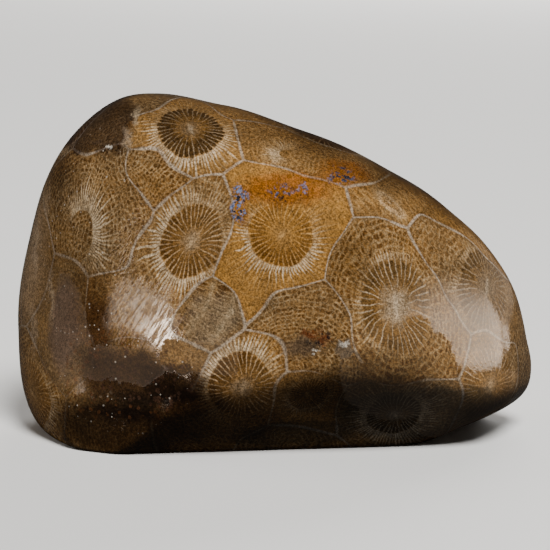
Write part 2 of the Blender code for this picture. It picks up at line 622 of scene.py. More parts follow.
@dataclass
class Colony:
    """All the corallites of the stone.

    Attributes:
        sight: The eye that the broad face is laid out for.
        broad_face: The corallites of the broad face.
        spacing: Least distance between the others, in millimetres.
        shyness: Least distance of the others from any lobe of the broad face.
        wall_stiffness: How stiffly walls follow single lobes, per square millimetre.
        neighbours: How many corallites each place is set against, with its own.
        seed: Seed of the draw of the others.
        placed: All those that stand on the stone.
    """

    sight: Sight
    broad_face: tuple[Corallite, ...] = BROAD_FACE
    spacing: float = 11.2
    shyness: float = 8.6
    wall_stiffness: float = 0.16
    neighbours: int = 4
    seed: int = 7
    placed: list[Placed] = field(default_factory=list)

    def grow(self, points: Array, normals: Array) -> None:
        """Places every corallite on the stone.

        Args:
            points: The surface's points, in millimetres.
            normals: The way that the surface faces at each one.
        """
        for corallite in self.broad_face:
            spots = np.array((corallite.eye, *corallite.lobes))
            rows = self.sight.nearest(spots, points, normals)
            LOG.debug("%s stands at point %d", corallite.name, rows[0])
            facing = normals[rows[0]] if corallite.facing is None else np.array(corallite.facing)
            self._place(points[rows[0]], points[rows[1:]], facing, corallite.calice)
        self._scatter(points, normals)

    def _place(self, centre: Array, lobes: Array, facing: Array, calice: Calice) -> None:
        """Stands one corallite on the stone, with its frame square to the way it faces.

        Args:
            centre: The middle of its calice, in millimetres.
            lobes: The points whose surroundings it holds, in millimetres.
            facing: The way it faces.
            calice: How its calice looks.
        """
        end_on = 0.9
        side = np.array((0.0, 1.0, 0.0) if abs(facing[0]) > end_on else (1.0, 0.0, 0.0))
        facing = unit(facing)
        across = unit(side - facing * (side @ facing))
        along = np.cross(facing, across)
        turn = math.radians(calice.turn_deg)
        turned = across * math.cos(turn) + along * math.sin(turn)
        along = along * math.cos(turn) - across * math.sin(turn)
        self.placed.append(Placed(centre, lobes, turned, along, calice))

    def _scatter(self, points: Array, normals: Array) -> None:
        """Fills the rest of the stone with corallites about as far apart as the others.

        Args:
            points: The surface's points, in millimetres.
            normals: The way that the surface faces at each one.
        """
        draw = np.random.default_rng(self.seed)
        taken = np.concatenate([placed.lobes for placed in self.placed])
        near = np.full(len(points), np.inf)
        for lobe in taken:
            near = np.minimum(near, np.linalg.norm(points - lobe, axis=1))
        open_rows = np.flatnonzero(near > self.shyness)
        order = draw.permutation(open_rows)
        chosen: list[Array] = []
        for row in order:
            point = points[row]
            if all(np.linalg.norm(point - other) > self.spacing for other in chosen):
                chosen.append(point)
                width = draw.uniform(3.5, 4.6)
                calice = Calice(
                    width=width,
                    height=width * draw.uniform(0.9, 1.2),
                    turn_deg=draw.uniform(0, 180),
                    depth=draw.uniform(0.5, 0.95),
                    flare=draw.uniform(0.55, 0.95),
                    reach=draw.uniform(1.35, 1.8),
                    core=draw.uniform(0.3, 0.55),
                    pale=draw.uniform(0.0, 0.7),
                    lit_deg=draw.uniform(0, 360),
                    lopsided=draw.uniform(0.2, 0.7),
                    pores=draw.uniform(0.4, 0.95),
                    amber=draw.uniform(0.2, 0.85),
                    row=draw.uniform(0.54, 0.7),
                )
                self._place(point, point[None, :], normals[row], calice)

    def chart(self, points: Array, quads: Array, warp: Warp) -> dict[str, Array]:
        """Charts the colony on the surface.

        A quad belongs to the corallite that is nearest to its middle, and all its corners are
        measured in that corallite's frame, so a wall that crosses the quad stays sharp. A
        corallite's lobes are melted together, so its walls run on smoothly.

        Args:
            points: The surface's points, in millimetres.
            quads: Each quad's four points.
            warp: The unevenness that the colony grew with.

        Returns:
            Vectors by name. For each quad's corners, "calice" has the place across and along
            the corallite's frame, and "walls" the distances to the walls of the three nearest
            neighbours, below 0 beyond a wall. For each quad, "eye_look" has the calice's depth,
            flare and reach, "core_look" its core, pallor and width, "lit_side" the way that it
            flares, "net_look" its pores, its amber and a number of its own, and "net_make" the
            net's row pitch and dash length and how plainly the septa show.
        """
        warped = warp(points)
        gaps = np.empty((len(points), len(self.placed)))
        holders = np.empty((len(points), len(self.placed), 3))
        for row, placed in enumerate(self.placed):
            lobes = warp(placed.lobes)
            square = ((warped[:, None, :] - lobes) ** 2).sum(axis=-1)
            least = square.min(axis=1, keepdims=True)
            weight = np.exp((least - square) * self.wall_stiffness)
            total = weight.sum(axis=1, keepdims=True)
            gaps[:, row] = (least - np.log(total) / self.wall_stiffness)[:, 0]
            holders[:, row] = weight / total @ lobes
        middle_gaps = gaps[quads].mean(axis=1)
        ranks = np.argpartition(middle_gaps, self.neighbours, axis=1)[:, :self.neighbours]
        order = np.take_along_axis(middle_gaps, ranks, axis=1).argsort(axis=1)
        ranks = np.take_along_axis(ranks, order, axis=1)
        cell = ranks[:, 0]
        walls = []
        for other in ranks[:, 1:].T:
            lead = gaps[quads, other[:, None]] - gaps[quads, cell[:, None]]
            apart = holders[quads, other[:, None]] - holders[quads, cell[:, None]]
            walls.append(lead / (2 * np.linalg.norm(apart, axis=-1)))
        corners = warped[quads]
        centres = warp(np.array([placed.centre for placed in self.placed]))
        offset = corners - centres[cell][:, None, :]
        across = np.array([placed.across for placed in self.placed])[cell]
        along = np.array([placed.along for placed in self.placed])[cell]
        calices = [placed.calice for placed in self.placed]
        squat = np.array([calice.width / calice.height for calice in calices])[cell]
        x = np.einsum("qcv,qv->qc", offset, across)
        y = np.einsum("qcv,qv->qc", offset, along) * squat[:, None]
        lit = [math.radians(calice.lit_deg - calice.turn_deg) for calice in calices]
        own_step = 0.37
        looks = {
            "eye_look": [(c.depth, c.flare, c.reach) for c in calices],
            "core_look": [(c.core, c.pale, c.width) for c in calices],
            "lit_side": [(c.lopsided * math.cos(way), c.lopsided * math.sin(way), 0.0)
                         for c, way in zip(calices, lit)],
            "net_look": [(c.pores, c.amber, own_step * row % 1.0)
                         for row, c in enumerate(calices)],
            "net_make": [(c.row, c.dash, c.lines) for c in calices],
        }
        chart = {name: np.array(values)[cell] for name, values in looks.items()}
        chart["calice"] = np.stack((x, y, np.zeros_like(x)), axis=-1)
        chart["walls"] = np.stack(walls, axis=-1)
        return chart


class Bench:
    """A shader's node tree, with short ways to place and wire its nodes."""

    def __init__(self, tree: bpy.types.NodeTree) -> None:
        """Takes the tree to work on."""
        self.tree = tree

    def add(self, kind: str, **settings: object) -> bpy.types.Node:
        """Places a node.

        Args:
            kind: The node's type.
            settings: Its settings by name.

        Returns:
            The node.
        """
        node = self.tree.nodes.new(kind)
        for name, value in settings.items():
            setattr(node, name, value)
        return node

    def feed(self, target: Socket, value: Feed) -> None:
        """Feeds a socket.

        Args:
            target: The socket to feed.
            value: The socket to wire into it, or the plain value to set it to.
        """
        if isinstance(value, bpy.types.NodeSocket):
            self.tree.links.new(value, target)
        else:
            target.default_value = value

    def feed_all(self, targets: Iterable[Socket], values: Iterable[Feed]) -> None:
        """Feeds sockets in their order."""
        for target, value in zip(targets, values):
            self.feed(target, value)

    def calc(self, operation: str, *values: Feed, clamp: bool = False) -> Socket:
        """Works out a number with a Math node.

        Args:
            operation: The node's operation.
            values: The numbers that it takes.
            clamp: Whether the result is held between 0 and 1.

        Returns:
            The result.
        """
        node = self.add("ShaderNodeMath", operation=operation, use_clamp=clamp)
        self.feed_all(node.inputs, values)
        return node.outputs[0]

    def plus(self, first: Feed, second: Feed) -> Socket:
        """The sum of two numbers."""
        return self.calc("ADD", first, second)

    def minus(self, first: Feed, second: Feed) -> Socket:
        """The first number less the second."""
        return self.calc("SUBTRACT", first, second)

    def times(self, first: Feed, second: Feed) -> Socket:
        """The product of two numbers."""
        return self.calc("MULTIPLY", first, second)

    def over(self, first: Feed, second: Feed) -> Socket:
        """The first number divided by the second."""
        return self.calc("DIVIDE", first, second)

    def scaled(self, value: Feed, factor: Feed, start: Feed) -> Socket:
        """A number times a factor, counted from a start."""
        return self.calc("MULTIPLY_ADD", value, factor, start)

    def vector(self, operation: str, *values: Feed) -> Socket:
        """Works out a vector, or a number from vectors, with a Vector Math node.

        Args:
            operation: The node's operation.
            values: The vectors that it takes, and for SCALE a vector and a number.

        Returns:
            A number for lengths, distances and dot products, and otherwise a vector.
        """
        node = self.add("ShaderNodeVectorMath", operation=operation)
        slots = [node.inputs[0], node.inputs[1], node.inputs[2]]
        if operation == "SCALE":
            slots = [node.inputs[0], node.inputs["Scale"]]
        self.feed_all(slots, values)
        named = "Value" if operation in ("LENGTH", "DISTANCE", "DOT_PRODUCT") else "Vector"
        return node.outputs[named]

    def split(self, vector: Socket) -> tuple[Socket, Socket, Socket]:
        """Takes a vector or a colour apart.

        Args:
            vector: The vector or colour.

        Returns:
            Its three numbers.
        """
        colour = getattr(vector, "type", "") == "RGBA"
        node = self.add("ShaderNodeSeparateColor" if colour else "ShaderNodeSeparateXYZ")
        self.feed(node.inputs[0], vector)
        return node.outputs[0], node.outputs[1], node.outputs[2]

    def gather(self, *numbers: Feed) -> Socket:
        """Makes a vector of three numbers.

        Args:
            numbers: The three numbers.

        Returns:
            The vector.
        """
        node = self.add("ShaderNodeCombineXYZ")
        self.feed_all(node.inputs, numbers)
        return node.outputs[0]

    def ease(self, value: Feed, low: Feed, high: Feed, start: Feed = 0.0,
             end: Feed = 1.0) -> Socket:
        """Goes smoothly from one number to another as a value grows.

        Args:
            value: The value.
            low: The value where it starts.
            high: The value where it ends.
            start: The number that it starts from.
            end: The number that it ends at.

        Returns:
            The number.
        """
        node = self.add("ShaderNodeMapRange", interpolation_type="SMOOTHSTEP")
        self.feed_all(node.inputs, (value, low, high, start, end))
        return node.outputs[0]

    def fade(self, value: Feed, low: Feed, high: Feed) -> Socket:
        """Goes smoothly from 1 to 0 as a value goes from low to high."""
        return self.ease(value, low, high, 1.0, 0.0)

    def blend(self, share: Feed, under: Feed, over: Feed, mode: str = "MIX") -> Socket:
        """Lays one colour over another.

        Args:
            share: How much of the upper one is laid, from 0 to 1.
            under: The lower colour.
            over: The upper colour.
            mode: The Mix node's blend type.

        Returns:
            The colour.
        """
        node = self.add("ShaderNodeMix", data_type="RGBA", blend_type=mode)
        self.feed_all((node.inputs["Factor"], node.inputs[6], node.inputs[7]),
                      (share, under, over))
        return node.outputs[2]

    def _noise_node(self, place: Socket, *values: float) -> bpy.types.Node:
        """Places a Noise node.

        Args:
            place: The place that it is drawn over.
            values: Its scale, detail and roughness.

        Returns:
            The node.
        """
        node = self.add("ShaderNodeTexNoise")
        sockets = (node.inputs[name] for name in ("Vector", "Scale", "Detail", "Roughness"))
        self.feed_all(sockets, (place, *values))
        return node

    def noise(self, place: Socket, scale: float, detail: float = 2.0,
              rough: float = 0.5) -> Socket:
        """Draws a number that wanders from place to place.

        Args:
            place: The place.
            scale: How many waves there are in a unit of the place.
            detail: How many finer sets of waves are added.
            rough: How strong each finer set is.

        Returns:
            The number, about 0.5 on average.
        """
        return self._noise_node(place, scale, detail, rough).outputs["Fac"]

    def noise_shift(self, place: Socket, scale: float, reach: float, detail: float = 2.0,
                    rough: float = 0.5) -> Socket:
        """Draws a vector that wanders from place to place.

        Args:
            place: The place.
            scale: How many waves there are in a unit of the place.
            reach: About how long the vector gets.
            detail: How many finer sets of waves are added.
            rough: How strong each finer set is.

        Returns:
            The vector, round zero.
        """
        node = self._noise_node(place, scale, detail, rough)
        wander = self.gather(*self.split(node.outputs["Color"]))
        centred = self.vector("SUBTRACT", wander, (0.5, 0.5, 0.5))
        return self.vector("SCALE", centred, 2 * reach)

    def draw(self, index: Socket, seed: Socket) -> tuple[Socket, Socket, Socket]:
        """Draws random numbers.

        Args:
            index: The number of the thing to draw for.
            seed: The seed of the draw.

        Returns:
            Three numbers from 0 to 1.
        """
        node = self.add("ShaderNodeTexWhiteNoise", noise_dimensions="2D")
        self.feed(node.inputs["Vector"], self.gather(index, seed, 0.0))
        return self.split(node.outputs["Color"])

    def attribute(self, name: str) -> Socket:
        """A vector that the mesh carries."""
        return self.add("ShaderNodeAttribute", attribute_name=name).outputs["Vector"]

    def group(self, effect: bpy.types.NodeTree, **values: Feed) -> bpy.types.Node:
        """Places a node group.

        Args:
            effect: The group.
            values: What its inputs are fed, by their names with underscores.

        Returns:
            The group's node.
        """
        node = self.add("ShaderNodeGroup", node_tree=effect)
        for name, value in values.items():
            self.feed(node.inputs[name.replace("_", " ").capitalize()], value)
        return node


class Kind(Enum):
    """The kinds of socket that a node group has."""

    NUMBER = "NodeSocketFloat"
    VECTOR = "NodeSocketVector"


def new_group(name: str, inputs: dict[str, Kind],
              outputs: dict[str, Kind]) -> tuple[Bench, dict[str, Socket], dict[str, Socket]]:
    """Starts a shader node group.

    Args:
        name: The group's name.
        inputs: Its inputs by name.
        outputs: Its outputs by name.

    Returns:
        A bench on its tree, its inputs by name, and its outputs by name.
    """
    tree = bpy.data.node_groups.new(name, "ShaderNodeTree")
    for label, kind in inputs.items():
        tree.interface.new_socket(label, in_out="INPUT", socket_type=kind.value)
    for label, kind in outputs.items():
        tree.interface.new_socket(label, in_out="OUTPUT", socket_type=kind.value)
    bench = Bench(tree)
    given = bench.add("NodeGroupInput").outputs
    result = bench.add("NodeGroupOutput").inputs
    return (bench, {label: given[label] for label in inputs},
            {label: result[label] for label in outputs})


class Effects:
    """The node groups that the stone's material is laid from, each built once."""

    def __init__(self) -> None:
        """Builds the groups."""
        self.star = self._star()
        self.net = self._net()
        self.wall = self._wall()
        self.blotch = self._blotch()
        self.specks = self._specks()

    @staticmethod
    def _wander(bench: Bench, given: dict[str, Socket], spacing: float, slow: Pair,
                fine: Pair) -> tuple[Socket, Socket, Socket, Socket]:
        """Sways a corallite's frame, in a way of its own for each seed.

        Args:
            bench: The group's bench.
            given: The group's inputs, with Place and Seed.
            spacing: How far apart the seeds from 0 to 1 draw their swaying, in millimetres.
            slow: How many slow waves there are in a millimetre, and how far they push.
            fine: The same for the fine waves.

        Returns:
            The place that the swaying is drawn at, the swayed place across and along the
            frame, and its distance from the middle.
        """
        own = bench.times(given["Seed"], spacing)
        start = bench.vector("ADD", given["Place"], bench.gather(0.0, 0.0, own))
        place = bench.vector("ADD", given["Place"], bench.noise_shift(start, *slow))
        place = bench.vector("ADD", place, bench.noise_shift(start, *fine, 3.0, 0.6))
        x, y, _ = bench.split(place)
        return start, x, y, bench.vector("LENGTH", bench.gather(x, y, 0.0))

    @classmethod
    def _star(cls) -> bpy.types.NodeTree:
        """Builds a corallite's star of septa round its eye.

        Septum marks the thin septa inside the eye, Comb the teeth that they end in outside it,
        Costa the fine ribs that run on, Gap the gaps in the eye with their rounded outer ends,
        Core the mesh in the middle and Streak the spindle at its heart.

        Returns:
            The group.
        """
        bench, given, result = new_group(
            "star_of_septa",
            {"Place": Kind.VECTOR, "Width": Kind.NUMBER, "Seed": Kind.NUMBER,
             "Reach": Kind.NUMBER, "Core size": Kind.NUMBER},
            {name: Kind.NUMBER for name in
             ("Radius", "Septum", "Comb", "Costa", "Gap", "Core", "Streak")},
        )
        # Septa and softness are in millimetres, tips and swells of teeth in pitches, lengths of
        # teeth in shares of the reach, and the rest in widths of the eye.
        septa, teeth = 38.0, 76.0
        teeth_seed, gap_seed = 200.0, 100.0
        thin, thick, soft_inside, soft_outside = 0.015, 0.05, 0.02, 0.065
        start_least, start_spread, minor_delay, start_fade = 0.26, 0.12, 0.24, 0.12
        tooth_least, tooth_spread, minor_loss = 0.5, 0.7, -0.3
        tooth_tip, tooth_swell, tooth_soft = 0.03, 0.18, 0.05
        gap_end, gap_spread, gap_rounding = 0.97, 0.07, 0.5
        spindle_wide, spindle_long = 0.09, 0.28

        width, reach, seed = given["Width"], given["Reach"], given["Seed"]
        start, x, y, distance = cls._wander(bench, given, 50.0, (0.35, 0.45), (1.0, 0.16))
        radius = bench.over(distance, width)
        turn = bench.times(bench.calc("ARCTAN2", y, x), septa / TURN)
        pitch = bench.times(distance, TURN / septa)

        index = bench.calc("ROUND", turn)
        nearest = bench.calc("WRAP", index, septa, 0.0)
        first, second, _ = bench.draw(nearest, seed)
        aside = bench.times(bench.calc("ABSOLUTE", bench.minus(turn, index)), pitch)
        half = bench.ease(radius, 0.35, 0.95, thin, thick)
        septum = bench.fade(aside, bench.minus(half, soft_inside),
                            bench.plus(half, soft_outside))
        inner = bench.plus(bench.scaled(first, start_spread, start_least),
                           bench.times(bench.calc("PINGPONG", nearest, 1.0), minor_delay))
        septum = bench.times(septum, bench.ease(radius, inner, bench.plus(inner, start_fade)))
        septum = bench.times(septum, bench.fade(radius, 0.99, 1.06))
        septum = bench.times(septum, bench.scaled(second, 0.4, 0.6))

        twice = bench.times(turn, teeth / septa)
        tooth = bench.calc("ROUND", twice)
        tooth_index = bench.calc("WRAP", tooth, teeth, 0.0)
        long, bright, fine = bench.draw(bench.plus(tooth_index, teeth_seed), seed)
        tooth_aside = bench.times(bench.calc("ABSOLUTE", bench.minus(twice, tooth)),
                                  bench.times(pitch, septa / teeth))
        length = bench.scaled(long, tooth_spread, tooth_least)
        length = bench.times(length, bench.scaled(bench.calc("PINGPONG", tooth_index, 1.0),
                                                  minor_loss, 1.0))
        length = bench.times(length, bench.minus(reach, 1.0))
        gone = bench.over(bench.minus(radius, 1.0), length)
        taper = bench.calc("SUBTRACT", 1.0, gone, clamp=True)
        tooth_half = bench.times(pitch, bench.scaled(taper, tooth_swell, tooth_tip))
        comb = bench.fade(tooth_aside, bench.minus(tooth_half, tooth_soft),
                          bench.plus(tooth_half, tooth_soft))
        comb = bench.times(comb, bench.ease(radius, 0.95, 1.02))
        comb = bench.times(comb, bench.ease(taper, 0.0, 0.4))
        comb = bench.times(comb, bench.scaled(bright, 0.5, 0.5))
        costa = bench.times(bench.fade(tooth_aside, 0.02, 0.12), bench.ease(radius, 1.0, 1.08))
        costa = bench.times(costa, bench.fade(radius, bench.plus(reach, -0.1),
                                              bench.plus(reach, 0.5)))
        costa = bench.times(costa, bench.ease(fine, 0.1, 0.8, 0.2, 1.0))

        gap_index = bench.calc("WRAP", bench.calc("FLOOR", turn), septa, 0.0)
        gap_first, gap_second, _ = bench.draw(bench.plus(gap_index, gap_seed), seed)
        middle = bench.minus(bench.calc("FRACT", turn), 0.5)
        rounding = bench.times(bench.times(middle, middle), gap_rounding)
        rim = bench.minus(bench.scaled(gap_first, gap_spread, gap_end), rounding)
        gap = bench.fade(radius, bench.minus(rim, 0.05), bench.plus(rim, 0.01))
        gap = bench.times(gap, bench.ease(radius, 0.25, 0.85, 0.4, 1.0))
        gap = bench.times(gap, bench.scaled(gap_second, 0.3, 0.7))

        frayed = bench.noise(start, 1.6, 2.0)
        frayed = bench.scaled(frayed, 0.4, bench.minus(radius, 0.2))
        core_edge = given["Core size"]
        core = bench.fade(frayed, bench.minus(core_edge, 0.28), bench.plus(core_edge, 0.14))
        spindle = bench.vector("LENGTH", bench.gather(
            bench.over(x, bench.times(width, spindle_wide)),
            bench.over(y, bench.times(width, spindle_long)), 0.0))
        streak = bench.fade(spindle, 0.3, 1.15)
        bench.feed_all(result.values(), (radius, septum, comb, costa, gap, core, streak))
        return bench.tree

    @classmethod
    def _net(cls) -> bpy.types.NodeTree:
        """Builds the net of small pores, in rows round a corallite's centre.

        Pore marks the pores and Ridge the pale threads between the rows.

        Returns:
            The group.
        """
        bench, given, result = new_group(
            "net_of_pores",
            {"Place": Kind.VECTOR, "Seed": Kind.NUMBER, "Row": Kind.NUMBER,
             "Dash": Kind.NUMBER},
            {"Pore": Kind.NUMBER, "Ridge": Kind.NUMBER},
        )
        least_pores, row_seed = 5.0, 131.0
        squash, stretch = 1.4, 0.95
        start, x, y, distance = cls._wander(bench, given, 70.0, (0.3, 1.1), (1.5, 0.24))

        def within(count: Socket) -> Socket:
            """How far through its cell a count is, from -1 to 1."""
            return bench.times(bench.minus(bench.calc("FRACT", count), 0.5), 2.0)

        rows = bench.over(distance, given["Row"])
        row = bench.calc("FLOOR", rows)
        shift, _, _ = bench.draw(row, given["Seed"])
        girth = bench.over(bench.times(row, given["Row"]), given["Dash"])
        count = bench.calc("MAXIMUM", bench.calc("ROUND", bench.times(girth, TURN)), least_pores)
        turned = bench.scaled(bench.calc("ARCTAN2", y, x), 1 / TURN, shift)
        along = bench.times(turned, count)
        cell = bench.calc("WRAP", bench.calc("FLOOR", along), count, 0.0)
        tone, size, _ = bench.draw(bench.scaled(row, row_seed, cell), given["Seed"])
        across = within(rows)
        onward = within(along)
        away = bench.vector("LENGTH", bench.gather(
            bench.times(across, squash), bench.times(onward, stretch), 0.0))
        hole = bench.ease(size, 0.0, 1.0, 0.75, 1.1)
        pore = bench.fade(away, bench.minus(hole, 0.4), hole)
        pore = bench.times(pore, bench.ease(tone, 0.0, 0.6, 0.25, 1.0))
        threads = bench.ease(bench.calc("ABSOLUTE", across), 0.6, 0.98)
        ties = bench.ease(bench.calc("ABSOLUTE", onward), 0.6, 0.98, 0.0, 0.8)
        ridge = bench.times(bench.calc("MAXIMUM", threads, ties),
                            bench.ease(bench.noise(start, 1.1, 3.0, 0.6), 0.35, 0.6, 0.15, 1.0))
        bench.feed_all(result.values(), (pore, ridge))
        return bench.tree

    @staticmethod
    def _wall() -> bpy.types.NodeTree:
        """Builds the pale walls between corallites, with their edges roughened.

        Wall marks the walls and Shade the darker stone beside them.

        Returns:
            The group.
        """
        bench, given, result = new_group(
            "corallite_wall",
            {"Walls": Kind.VECTOR, "Place": Kind.VECTOR, "Thickness": Kind.NUMBER},
            {"Wall": Kind.NUMBER, "Shade": Kind.NUMBER},
        )
        thinnest, thickest = 0.55, 2.3
        wear, soft, shade_width = 0.2, 0.1, 0.6
        rough = bench.noise(given["Place"], 1.8, 3.0, 0.6)
        wide = bench.noise(given["Place"], 0.2, 1.0)
        first, second, third = bench.split(given["Walls"])
        nearest = bench.calc("MINIMUM", bench.calc("ABSOLUTE", first), bench.calc(
            "MINIMUM", bench.calc("ABSOLUTE", second), bench.calc("ABSOLUTE", third)))
        half = bench.times(given["Thickness"], bench.ease(wide, 0.38, 0.68, thinnest, thickest))
        worn = bench.scaled(bench.minus(rough, 0.5), wear, nearest)
        line = bench.fade(worn, bench.times(half, 0.3), bench.plus(half, soft))
        faint = bench.ease(bench.noise(given["Place"], 0.7, 3.0, 0.65), 0.35, 0.6, 0.6, 1.0)
        bench.feed(result["Wall"], bench.times(line, faint))
        bench.feed(result["Shade"], bench.fade(nearest, half, bench.plus(half, shade_width)))
        return bench.tree

    @staticmethod
    def _blotch() -> bpy.types.NodeTree:
        """Builds a soft-edged patch round a place on the stone, round at boxy 0 and boxy at 1.

        Returns:
            The group.
        """
        bench, given, result = new_group(
            "blotch",
            {"Place": Kind.VECTOR, "Centre": Kind.VECTOR, "Size": Kind.VECTOR,
             "Edge": Kind.NUMBER, "Boxy": Kind.NUMBER},
            {"Mask": Kind.NUMBER},
        )
        offset = bench.vector("SUBTRACT", given["Place"], given["Centre"])
        shares = bench.vector("DIVIDE", offset, given["Size"])
        squared = bench.vector("MULTIPLY", shares, shares)
        plain = bench.vector("LENGTH", shares)
        boxed = bench.calc("SQRT", bench.vector("LENGTH", squared))
        away = bench.scaled(bench.minus(boxed, plain), given["Boxy"], plain)
        bench.feed(result["Mask"], bench.fade(away, bench.minus(1.0, given["Edge"]), 1.0))
        return bench.tree

    @staticmethod
    def _specks() -> bpy.types.NodeTree:
        """Builds small grains strewn through the stone.

        Mask marks the grains and Tone is each one's own number from 0 to 1, to choose some by.

        Returns:
            The group.
        """
        bench, given, result = new_group(
            "specks",
            {"Place": Kind.VECTOR, "Pitch": Kind.NUMBER, "Girth": Kind.NUMBER},
            {"Mask": Kind.NUMBER, "Tone": Kind.NUMBER},
        )
        smallest, largest, solid_share = 0.5, 1.2, 0.7
        cells = bench.add("ShaderNodeTexVoronoi", feature="F1")
        bench.feed(cells.inputs["Vector"], given["Place"])
        bench.feed(cells.inputs["Scale"], bench.over(1.0, given["Pitch"]))
        tone, size, _ = bench.split(cells.outputs["Color"])
        half = bench.times(given["Girth"], bench.ease(size, 0.0, 1.0, smallest, largest))
        bench.feed(result["Mask"], bench.fade(cells.outputs["Distance"],
                                              bench.times(half, solid_share), half))
        bench.feed(result["Tone"], tone)
        return bench.tree


class Grain(Enum):
    """The grains that a patch can be in: their pitch in millimetres and their girth in pitches."""

    FINE = (0.36, 0.8)
    COARSE = (0.5, 0.6)
    # GLINT grains are painted glints: tiny white dots that stand in for sparkles of light on the
    # polish.
    GLINT = (0.55, 0.22)


@dataclass(frozen=True)
class Palette:
    """The stone's colours."""

    amber: tuple = tint(152, 108, 50)
    brown: tuple = tint(114, 88, 56)
    amber_pore: tuple = tint(98, 58, 16)
    brown_pore: tuple = tint(68, 44, 18)
    amber_thread: tuple = tint(176, 138, 88)
    brown_thread: tuple = tint(152, 130, 98)
    amber_gap: tuple = tint(96, 60, 16)
    grey_gap: tuple = tint(62, 46, 24)
    amber_septum: tuple = tint(180, 138, 84)
    pale_septum: tuple = tint(176, 158, 132)
    flare: tuple = tint(206, 182, 148)
    wall: tuple = tint(168, 150, 128)


@dataclass(frozen=True)
class MaskedPatch:
    """A patch laid on the broad face: a stain of other mineral, a change of tone, painted shade,
    painted light, painted glints, or a dull, scored or worn place.

    Attributes:
        centre: Its middle as the sight sees the broad face, in millimetres.
        size: How far it reaches right, in depth and up, in millimetres.
        colour: Its colour, or None where it only wears the walls away.
        strength: How much it covers, from 0 to 1.
        edge: How wide its fade is, as a share of its size.
        grain: The grains that it is in, or None where it is whole.
        share: How many of its grains are there, from 0 to 1.
        multiplies: Whether it darkens what it covers by multiplying, instead of hiding it.
        boxy: How boxy it is, from 0, round, to 1.
    """

    centre: Pair
    size: Triple
    colour: tuple | None
    strength: float = 0.8
    edge: float = 0.6
    grain: Grain | None = None
    share: float = 0.5
    multiplies: bool = False
    boxy: float = 0.0


def tone_and_shade_wash(centre: Pair, size: Triple, colour: tuple, edge: float = 0.6,
         boxy: float = 0.0) -> MaskedPatch:
    """A patch that darkens by multiplying: mostly painted shade, in a few places the stone's own
    darker tone.

    Args:
        centre: Its middle as the sight sees the broad face, in millimetres.
        size: How far it reaches right, in depth and up, in millimetres.
        colour: What it lets through.
        edge: How wide its fade is, as a share of its size.
        boxy: How boxy it is, from 0 to 1.

    Returns:
        The patch.
    """
    return MaskedPatch(centre, size, colour, 1.0, edge, multiplies=True, boxy=boxy)


@dataclass(frozen=True)
class Ground:
    """What the layers of the stone's finish share.

    Attributes:
        place: The place on the stone, in millimetres.
        calice: The place in the corallite's own frame, in millimetres.
        depth: How dark the gaps in the eye are.
        flare: How white the ends of the septa are.
        pale: How pale and grey the eye is.
        pores: How strongly the net of pores shows.
        amber: How warm the corallite is.
        lines: How plainly the septa show inside the eye.
        star: What the star group puts out.
        net: What the net group puts out.
        wall: What the wall group puts out.
        cloudy: An unevenness over centimetres.
        patchy: An unevenness over millimetres.
        fine: An unevenness over less than a millimetre.
    """

    place: Socket
    calice: Socket
    depth: Socket
    flare: Socket
    pale: Socket
    pores: Socket
    amber: Socket
    lines: Socket
    star: Outputs
    net: Outputs
    wall: Outputs
    cloudy: Socket
    patchy: Socket
    fine: Socket


class Brush:
    """Lays patches out over the stone: stains and tones, painted shade, painted light and painted
    glints, and dull, scored and worn places.
    """

    def __init__(self, bench: Bench, effects: Effects, place: Socket,
                 centres: dict[Pair, Vector]) -> None:
        """Sways the place for ragged edges, and lays out each kind of grain once.

        Args:
            bench: The material's bench.
            effects: The node groups.
            place: The place on the stone, in millimetres.
            centres: The stone's point at each stain's centre.
        """
        self.bench = bench
        self.blotch = effects.blotch
        self.centres = centres
        self.swayed = bench.vector("ADD", place, bench.noise_shift(place, 0.45, 2.0, 6.0, 0.72))
        self.grains = {
            grain: bench.group(effects.specks, place=place, pitch=grain.value[0],
                               girth=grain.value[1]).outputs
            for grain in Grain
        }

    def cover(self, masked_patch: MaskedPatch) -> Socket:
        """Lays out how much a patch covers.

        Args:
            masked_patch: The patch.

        Returns:
            The share that it covers, from 0 to 1.
        """
        bench = self.bench
        patch = bench.group(self.blotch, place=self.swayed, centre=self.centres[masked_patch.centre],
                            size=masked_patch.size, edge=masked_patch.edge, boxy=masked_patch.boxy).outputs["Mask"]
        share = bench.times(patch, masked_patch.strength)
        if masked_patch.grain is not None:
            specks = self.grains[masked_patch.grain]
            chosen = bench.calc("LESS_THAN", specks["Tone"], masked_patch.share)
            share = bench.times(share, bench.times(chosen, specks["Mask"]))
        return share


